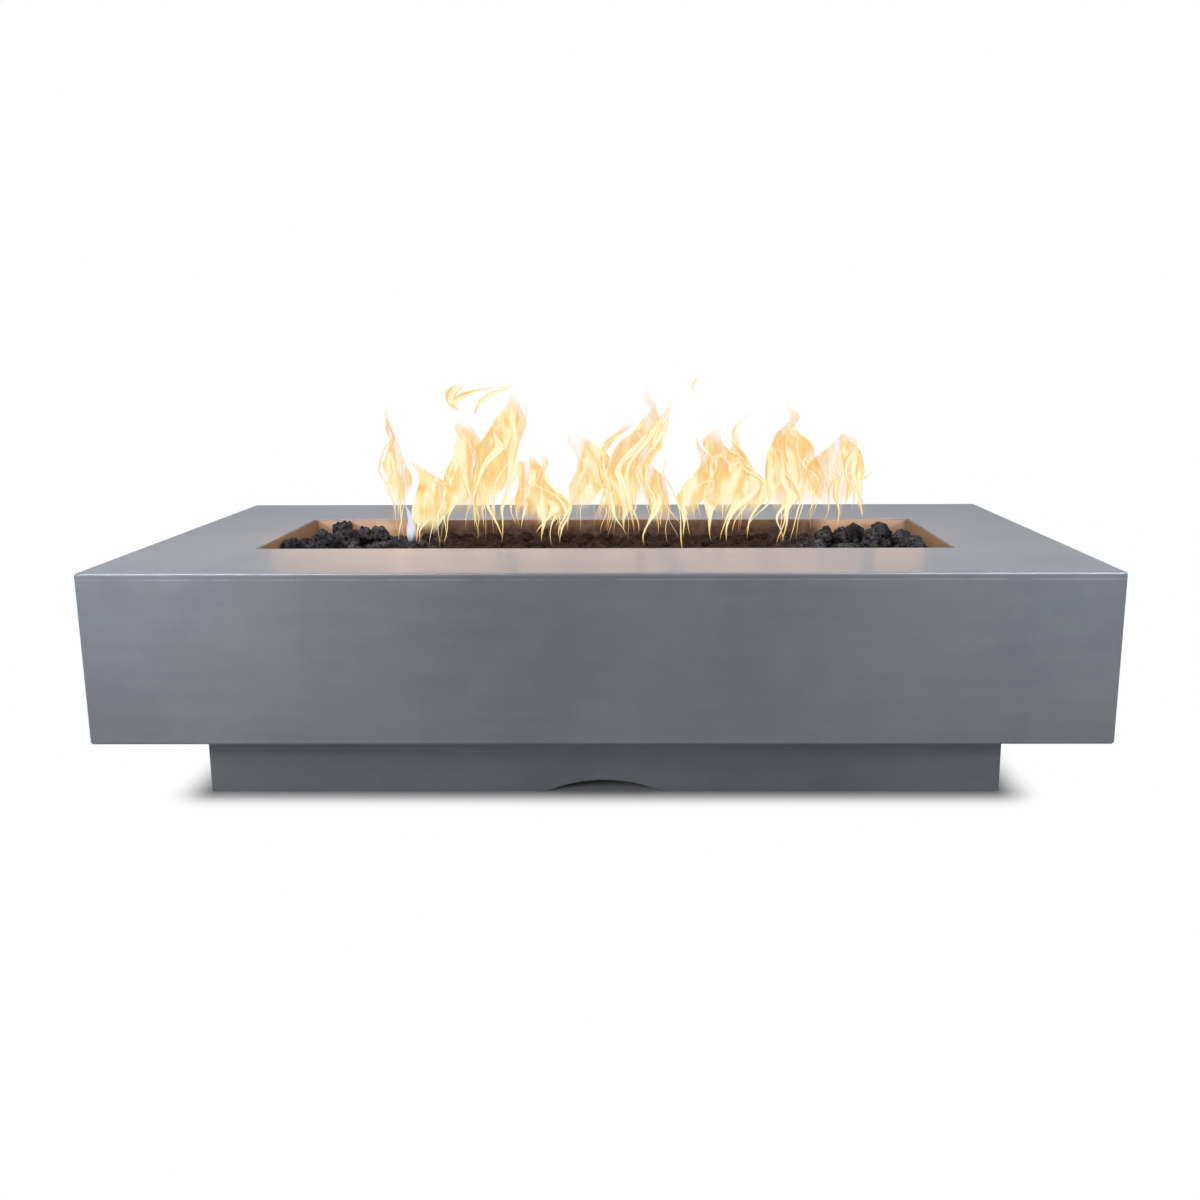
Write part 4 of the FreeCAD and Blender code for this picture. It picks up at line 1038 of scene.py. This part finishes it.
flameLook = {
    "pale": (1.0, 0.95, 0.62),
    "yellow": (1.0, 0.70, 0.19),
    "orange": (0.93, 0.47, 0.13),
    "blue": (0.72, 0.80, 1.0),
    "mirrored": (1.0, 0.72, 0.60),
    "mirrorGain": 1.1,
    "blueShare": 0.8,
    "blueCover": 0.6,
    "patchStretch": (1, 1, 0.3),
    "patchSize": 0.040,
    "patchRange": (0.42, 0.64),
    # bright along its middle, orange at its foot
    "ribbon": {
        "core": (0.12, 0.50, 1.0, 0.0), "footGlow": (0.05, 0.35, 0.1, 1.0),
        "cover": (0.34, 0.90, 0.96, 0.0), "foot": (0.0, 0.16), "tip": (0.68, 0.96, 1.0, 0.0),
    },
    # bright at its edges, along thin strands and in its thickest patches
    "veil": {
        "windStretch": (1, 1, 0.20), "windSize": 0.030, "strand": (0.004, 0.055, 1.0, 0.0),
        "edge": (0.42, 0.72), "mass": (0.50, 0.66), "brightShares": (0.7, 0.65, 0.9),
        "cover": (0.38, 0.58, 0.08, 0.95), "coverShares": (0.5, 0.5), "rim": (0.86, 1.0, 1.0, 0.0),
        "foot": (0.16, 0.46), "tip": (0.74, 0.97, 1.0, 0.0),
    },
}


def flameLight(name, look, kind="veil", blue=False):
    finish = Finish(name)
    own = look[kind]
    facing = finish.node("LayerWeight", None, {"Blend": 0.5}, "Facing")
    rise = finish.node("Attribute", {"attribute_name": "rise"}, None, "Fac")
    patch = finish.clouds(finish.place(look["patchStretch"]), look["patchSize"], 2, 0.45, 0.5)
    warm = finish.between(patch, *look["patchRange"])
    inside = finish.blend(warm, tint(*look["orange"]), tint(*look["yellow"]))
    if kind == "ribbon":
        bright = finish.between(facing, *own["core"]) * finish.between(rise, *own["footGlow"])
        cover = finish.between(facing, *own["cover"])
    else:
        # The strands run where a slow, drawn-out cloud passes its middle value
        winding = finish.clouds(finish.place(own["windStretch"]), own["windSize"], 1.0, 0.40, 0.5)
        strand = finish.between(finish.size(winding - 0.5), *own["strand"])
        edge = finish.between(facing, *own["edge"])
        mass = finish.between(patch, *own["mass"])
        edgeShare, strandShare, massShare = own["brightShares"]
        bright = finish.math("MINIMUM", edge * edgeShare + strand * strandShare + mass * massShare, 1.0)
        edgeShare, strandShare = own["coverShares"]
        cover = edge * edgeShare + strand * strandShare + finish.between(patch, *own["cover"])
        cover = cover * finish.between(facing, *own["rim"])
    ends = finish.between(rise, *own["foot"]) * finish.between(rise, *own["tip"])
    colour = finish.blend(bright, inside, tint(*look["pale"]))
    if blue:
        colour = finish.blend(look["blueShare"], colour, tint(*look["blue"]))
        cover = cover * look["blueCover"]
    mirror = finish.node("LightPath", output="Is Glossy Ray")
    colour = finish.blend(mirror, colour, tint(*look["mirrored"]))
    strength = 1.0 + mirror * look["mirrorGain"]
    glow = finish.node("Emission", None, {"Color": colour, "Strength": strength})
    clear = finish.node("BsdfTransparent")
    shown = finish.math("MINIMUM", cover * ends, 1.0)
    both = finish.node("MixShader", None, {0: shown, 1: clear, 2: glow})
    finish.node("OutputMaterial", None, {"Surface": both})
    finish.owner.cycles.emission_sampling = "NONE"
    return finish.owner


def makeTongue(settings, kind):
    # A ring drawn upwards, one extrusion for each height in the list
    rings = settings[kind + "Rings"]
    dropSelection()
    bpy.ops.mesh.primitive_circle_add(vertices=settings[kind + "Sides"], radius=rings[0][1])
    tongue = bpy.context.object
    tongue.name = "flameTongue"
    editAll(tongue)
    for (low, narrow), (high, wide) in zip(rings, rings[1:]):
        growth = wide / narrow
        bpy.ops.mesh.extrude_region_move(TRANSFORM_OT_translate={"value": (0, 0, high - low)})
        bpy.ops.transform.resize(value=(growth, growth, 1), center_override=(0, 0, high))
    leaveEdit()
    heights = [vertex.co.z for vertex in tongue.data.vertices]
    tongue.data.attributes.new("rise", "FLOAT", "POINT").data.foreach_set("value", heights)
    sway = tongue.vertex_groups.new(name="sway")
    folds = tongue.vertex_groups.new(name="folds")
    for index, height in enumerate(heights):
        grown = height * settings["swayGrowth"]
        sway.add([index], min(1.0, grown), "REPLACE")
        folds.add([index], min(1.0, grown, (1 - height) * settings["tipFade"]), "REPLACE")
    return tongue


def setTongue(tongue, foot, height, halfWidth, depth, lean, turn, bow=0.0):
    twin = tongue.copy()
    twin.data = tongue.data.copy()
    bpy.context.collection.objects.link(twin)
    twin.scale = (halfWidth, depth, height)
    settle(twin)
    editAll(twin)
    bpy.ops.transform.rotate(value=math.radians(turn), orient_axis="Z", center_override=(0, 0, 0))
    leaveEdit()
    for vertex in twin.data.vertices:
        share = vertex.co.z / height
        vertex.co.x += lean * share * share + bow * math.sin(math.pi * share)
    twin.location = foot
    settle(twin)
    return twin


def makeFlames(settings, look):
    chance = random.Random(11)
    wide = makeTongue(settings, "veil")
    narrow = makeTongue(settings, "ribbon")
    own = settings["ribbons"]
    veils = []
    ribbons = []
    start, slope = settings["climb"]
    for x, y, top, halfWidth, lean in settings["tongues"]:
        climb = max(0.0, x - start) * slope
        foot = (x, y, chance.uniform(*settings["foot"]) + climb)
        depth = halfWidth * chance.uniform(*settings["veilDepth"])
        turn = chance.uniform(-1, 1) * settings["veilTurn"]
        veils.append(setTongue(wide, foot, top - foot[2], halfWidth, depth, lean, turn))
        for index in range(own["least"] + int(halfWidth * own["perWidth"])):
            aside = chance.uniform(-1, 1) * own["spread"] * halfWidth
            reach = chance.uniform(*own["reach"])
            half = chance.uniform(*own["halfWidth"])
            across = y + chance.uniform(-1, 1) * own["aside"]
            foot = (x + aside, across, chance.uniform(*settings["ribbonFoot"]) + climb)
            depth = half * chance.uniform(*own["depth"])
            turn = chance.uniform(-1, 1) * own["turn"]
            ribbons.append(setTongue(
                narrow, foot, (top - foot[2]) * reach, half, depth, (lean * reach - aside) * reach,
                turn, chance.uniform(-1, 1) * own["bow"],
            ))
    for x, y, foot, halfWidth, height, lean, bow in settings["wisps"]:
        ribbons.append(setTongue(
            narrow, (x, y, foot), height, halfWidth, halfWidth / 2, lean, settings["wispTurn"], bow,
        ))
    blue = []
    lowest = settings["foot"][0]
    for x, y, top, halfWidth, lean in settings["blue"]:
        blue.append(setTongue(
            wide, (x, y, lowest), top - lowest, halfWidth, settings["blueDepth"], lean,
            settings["blueTurn"],
        ))
    bpy.data.objects.remove(wide)
    bpy.data.objects.remove(narrow)
    stirFlames(joinAll(veils, "flames"), settings, flameLight("flameLight", look))
    stirFlames(joinAll(ribbons, "flameRibbons"), settings, flameLight("ribbonLight", look, "ribbon"))
    stirFlames(joinAll(blue, "blueFlame"), settings, flameLight("blueLight", look, blue=True))


def squeeze(flames, share):
    editAll(flames)
    bpy.ops.transform.resize(value=(1, 1, share), center_override=(0, 0, 0))
    leaveEdit()


def stirFlames(flames, settings, light):
    # The same moving air pulls every tongue, then folds its skin into tall folds
    fold = settings["fold"]
    pull, folding = settings["stir"][flames.name]
    useModifier(flames, "SUBSURF", levels=1, render_levels=1)
    for axis, (share, wider) in settings["swayAxes"].items():
        for part in ("swayWide", "swayFine"):
            own = settings[part]
            air = bpy.data.textures.get(part + axis) or lumps(part + axis, own["size"] * wider, 1)
            useModifier(
                flames, "DISPLACE", texture=air, direction=axis, vertex_group="sway",
                strength=own["strength"] * share * pull,
            )
    squeeze(flames, fold["squeeze"])
    useModifier(
        flames, "DISPLACE", texture=lumps("flameFolds", fold["size"], 1),
        vertex_group="folds", strength=fold["strength"] * folding,
    )
    squeeze(flames, 1 / fold["squeeze"])
    useModifier(flames, "SUBSURF", levels=1, render_levels=1)
    smooth(flames)
    flames.data.materials.clear()
    flames.data.materials.append(light)
    flames.visible_diffuse = False
    flames.visible_shadow = False
    print("made", flames.name, len(flames.data.polygons), "faces")


makeFlames(flameSettings, flameLook)


# The studio: a white floor that keeps the shadow, and white all round

studioSettings = {
    "floorSize": 30,
    "floorColour": tint(0.74, 0.74, 0.75),
    "floorLift": 0.50,
    "liftReach": (0.02, 0.12),
    # half of the foot of the plinth, and how far from it the shadow fades out
    "underTable": (0.62, 0.27),
    "shadowReach": (0.0, 0.09),
    "world": 0.26,
    "worldColour": tint(0.90, 0.95, 1.0),
    "mirroredWorld": tint(0.88, 0.91, 0.965),
    "lamps": {
        "overheadLamp": {"place": (-0.2, -1.05, 2.4), "aim": (0.0, -0.2, 0.2), "size": (2.6, 1.2),
                         "watts": 4.7},
        "frontLamp": {"place": (-1.6, -3.2, 1.5), "aim": (-0.2, -0.4, 0.2), "size": (1.6, 1.4),
                      "watts": 18.5},
        "leftLamp": {"place": (-1.35, -1.75, 0.80), "aim": (-0.74, -0.40, 0.50), "size": (0.2, 0.2),
                     "watts": 0.42, "spread": 36, "hidden": ["visible_glossy"]},
        "rightLamp": {"place": (1.35, -1.75, 0.80), "aim": (0.78, -0.40, 0.50), "size": (0.2, 0.2),
                      "watts": 0.34, "spread": 36, "hidden": ["visible_glossy"]},
        "sheenLeftLamp": {"place": (-1.45, -0.80, 2.5), "aim": (-0.68, -0.4, 0.38), "size": (0.9, 1.7),
                          "watts": 13.2, "spread": 44, "colour": (0.90, 0.92, 1.0),
                          "hidden": ["visible_diffuse"]},
        "sheenRightLamp": {"place": (1.55, -0.75, 2.5), "aim": (0.76, -0.4, 0.38), "size": (0.7, 1.7),
                           "watts": 15.5, "spread": 44, "colour": (0.90, 0.92, 1.0),
                           "hidden": ["visible_diffuse"]},
        "fireGlow": {"place": (-0.01, 0.0, 0.56), "aim": (-0.01, 0.0, 0.0), "size": (0.98, 0.10),
                     "watts": 1.2, "colour": (1.0, 0.66, 0.42)},
    },
    # the warm reflection on the front rim reaches a little past the flames: places and widths along x
    "embers": {"spots": [(-0.452, 0.31), (0.52, 0.09)], "height": 0.43, "tall": 0.13,
               "wattsPerMetre": 0.36, "colour": (1.0, 0.53, 0.22)},
}


def makeLamp(name, settings):
    aim = Vector(settings["aim"]) - Vector(settings["place"])
    bpy.ops.object.light_add(
        type="AREA", location=settings["place"], rotation=aim.to_track_quat("-Z", "Y").to_euler(),
    )
    lamp = bpy.context.object
    lamp.name = name
    lamp.data.shape = "RECTANGLE"
    lamp.data.size, lamp.data.size_y = settings["size"]
    lamp.data.energy = settings["watts"]
    lamp.data.spread = math.radians(settings.get("spread", 180))
    lamp.data.color = settings.get("colour", (1, 1, 1))
    for kind in settings.get("hidden", []):
        setattr(lamp, kind, False)
    return lamp


def makeStudio(settings):
    world = bpy.data.worlds.new("whiteStudio")
    bpy.context.scene.world = world
    sky = Finish(world.name, world)
    ray = sky.node("LightPath", output="Is Camera Ray")
    mirror = Wire(sky, ray.socket.node.outputs["Is Glossy Ray"])
    through = Wire(sky, ray.socket.node.outputs["Is Transmission Ray"])
    seen = sky.math("MINIMUM", ray + mirror + through, 1.0)
    soft = sky.node("Background", None, {"Color": settings["worldColour"], "Strength": settings["world"]})
    white = sky.node("Background", None, {"Color": tint(1, 1, 1), "Strength": 1.0})
    tinted = sky.node("Background", None, {"Color": settings["mirroredWorld"], "Strength": 1.0})
    both = sky.node("MixShader", None, {0: seen, 1: soft, 2: white})
    both = sky.node("MixShader", None, {0: mirror, 1: both, 2: tinted})
    sky.node("OutputWorld", None, {"Surface": both})

    dropSelection()
    bpy.ops.mesh.primitive_plane_add(size=settings["floorSize"])
    floor = bpy.context.object
    floor.name = "studioFloor"
    finish = Finish("studioFloorWhite")
    # How far a spot lies outside the foot of the plinth
    where = finish.place()
    long, wide = [
        finish.math("MAXIMUM", finish.size(finish.axis(where, axis)) - half, 0.0)
        for axis, half in zip("XY", settings["underTable"])
    ]
    away = finish.math("SQRT", long * long + wide * wide)
    far = finish.between(away, *settings["shadowReach"])
    ray = finish.node("LightPath", output="Is Camera Ray")
    ground = finish.node("BsdfDiffuse", None, {"Color": settings["floorColour"]})
    lifted = finish.between(away, *settings["liftReach"]) * settings["floorLift"] * ray
    lift = finish.node("Emission", None, {"Color": tint(1, 1, 1), "Strength": lifted})
    near = finish.node("AddShader", None, {0: ground, 1: lift})
    white = finish.node("Emission", None, {"Color": tint(1, 1, 1), "Strength": 1.0})
    both = finish.node("MixShader", None, {0: far * ray, 1: near, 2: white})
    finish.node("OutputMaterial", None, {"Surface": both})
    floor.data.materials.append(finish.owner)
    for name, own in settings["lamps"].items():
        makeLamp(name, own)
    embers = settings["embers"]
    for x, width in embers["spots"]:
        lamp = makeLamp("fireReflection", {
            "place": (x, 0, embers["height"]), "aim": (x, -1, embers["height"]),
            "size": (width, embers["tall"]), "watts": embers["wattsPerMetre"] * width,
            "colour": embers["colour"], "hidden": ["visible_camera", "visible_diffuse"],
        })
        lamp.data.shape = "ELLIPSE"


makeStudio(studioSettings)
print("studio ready")
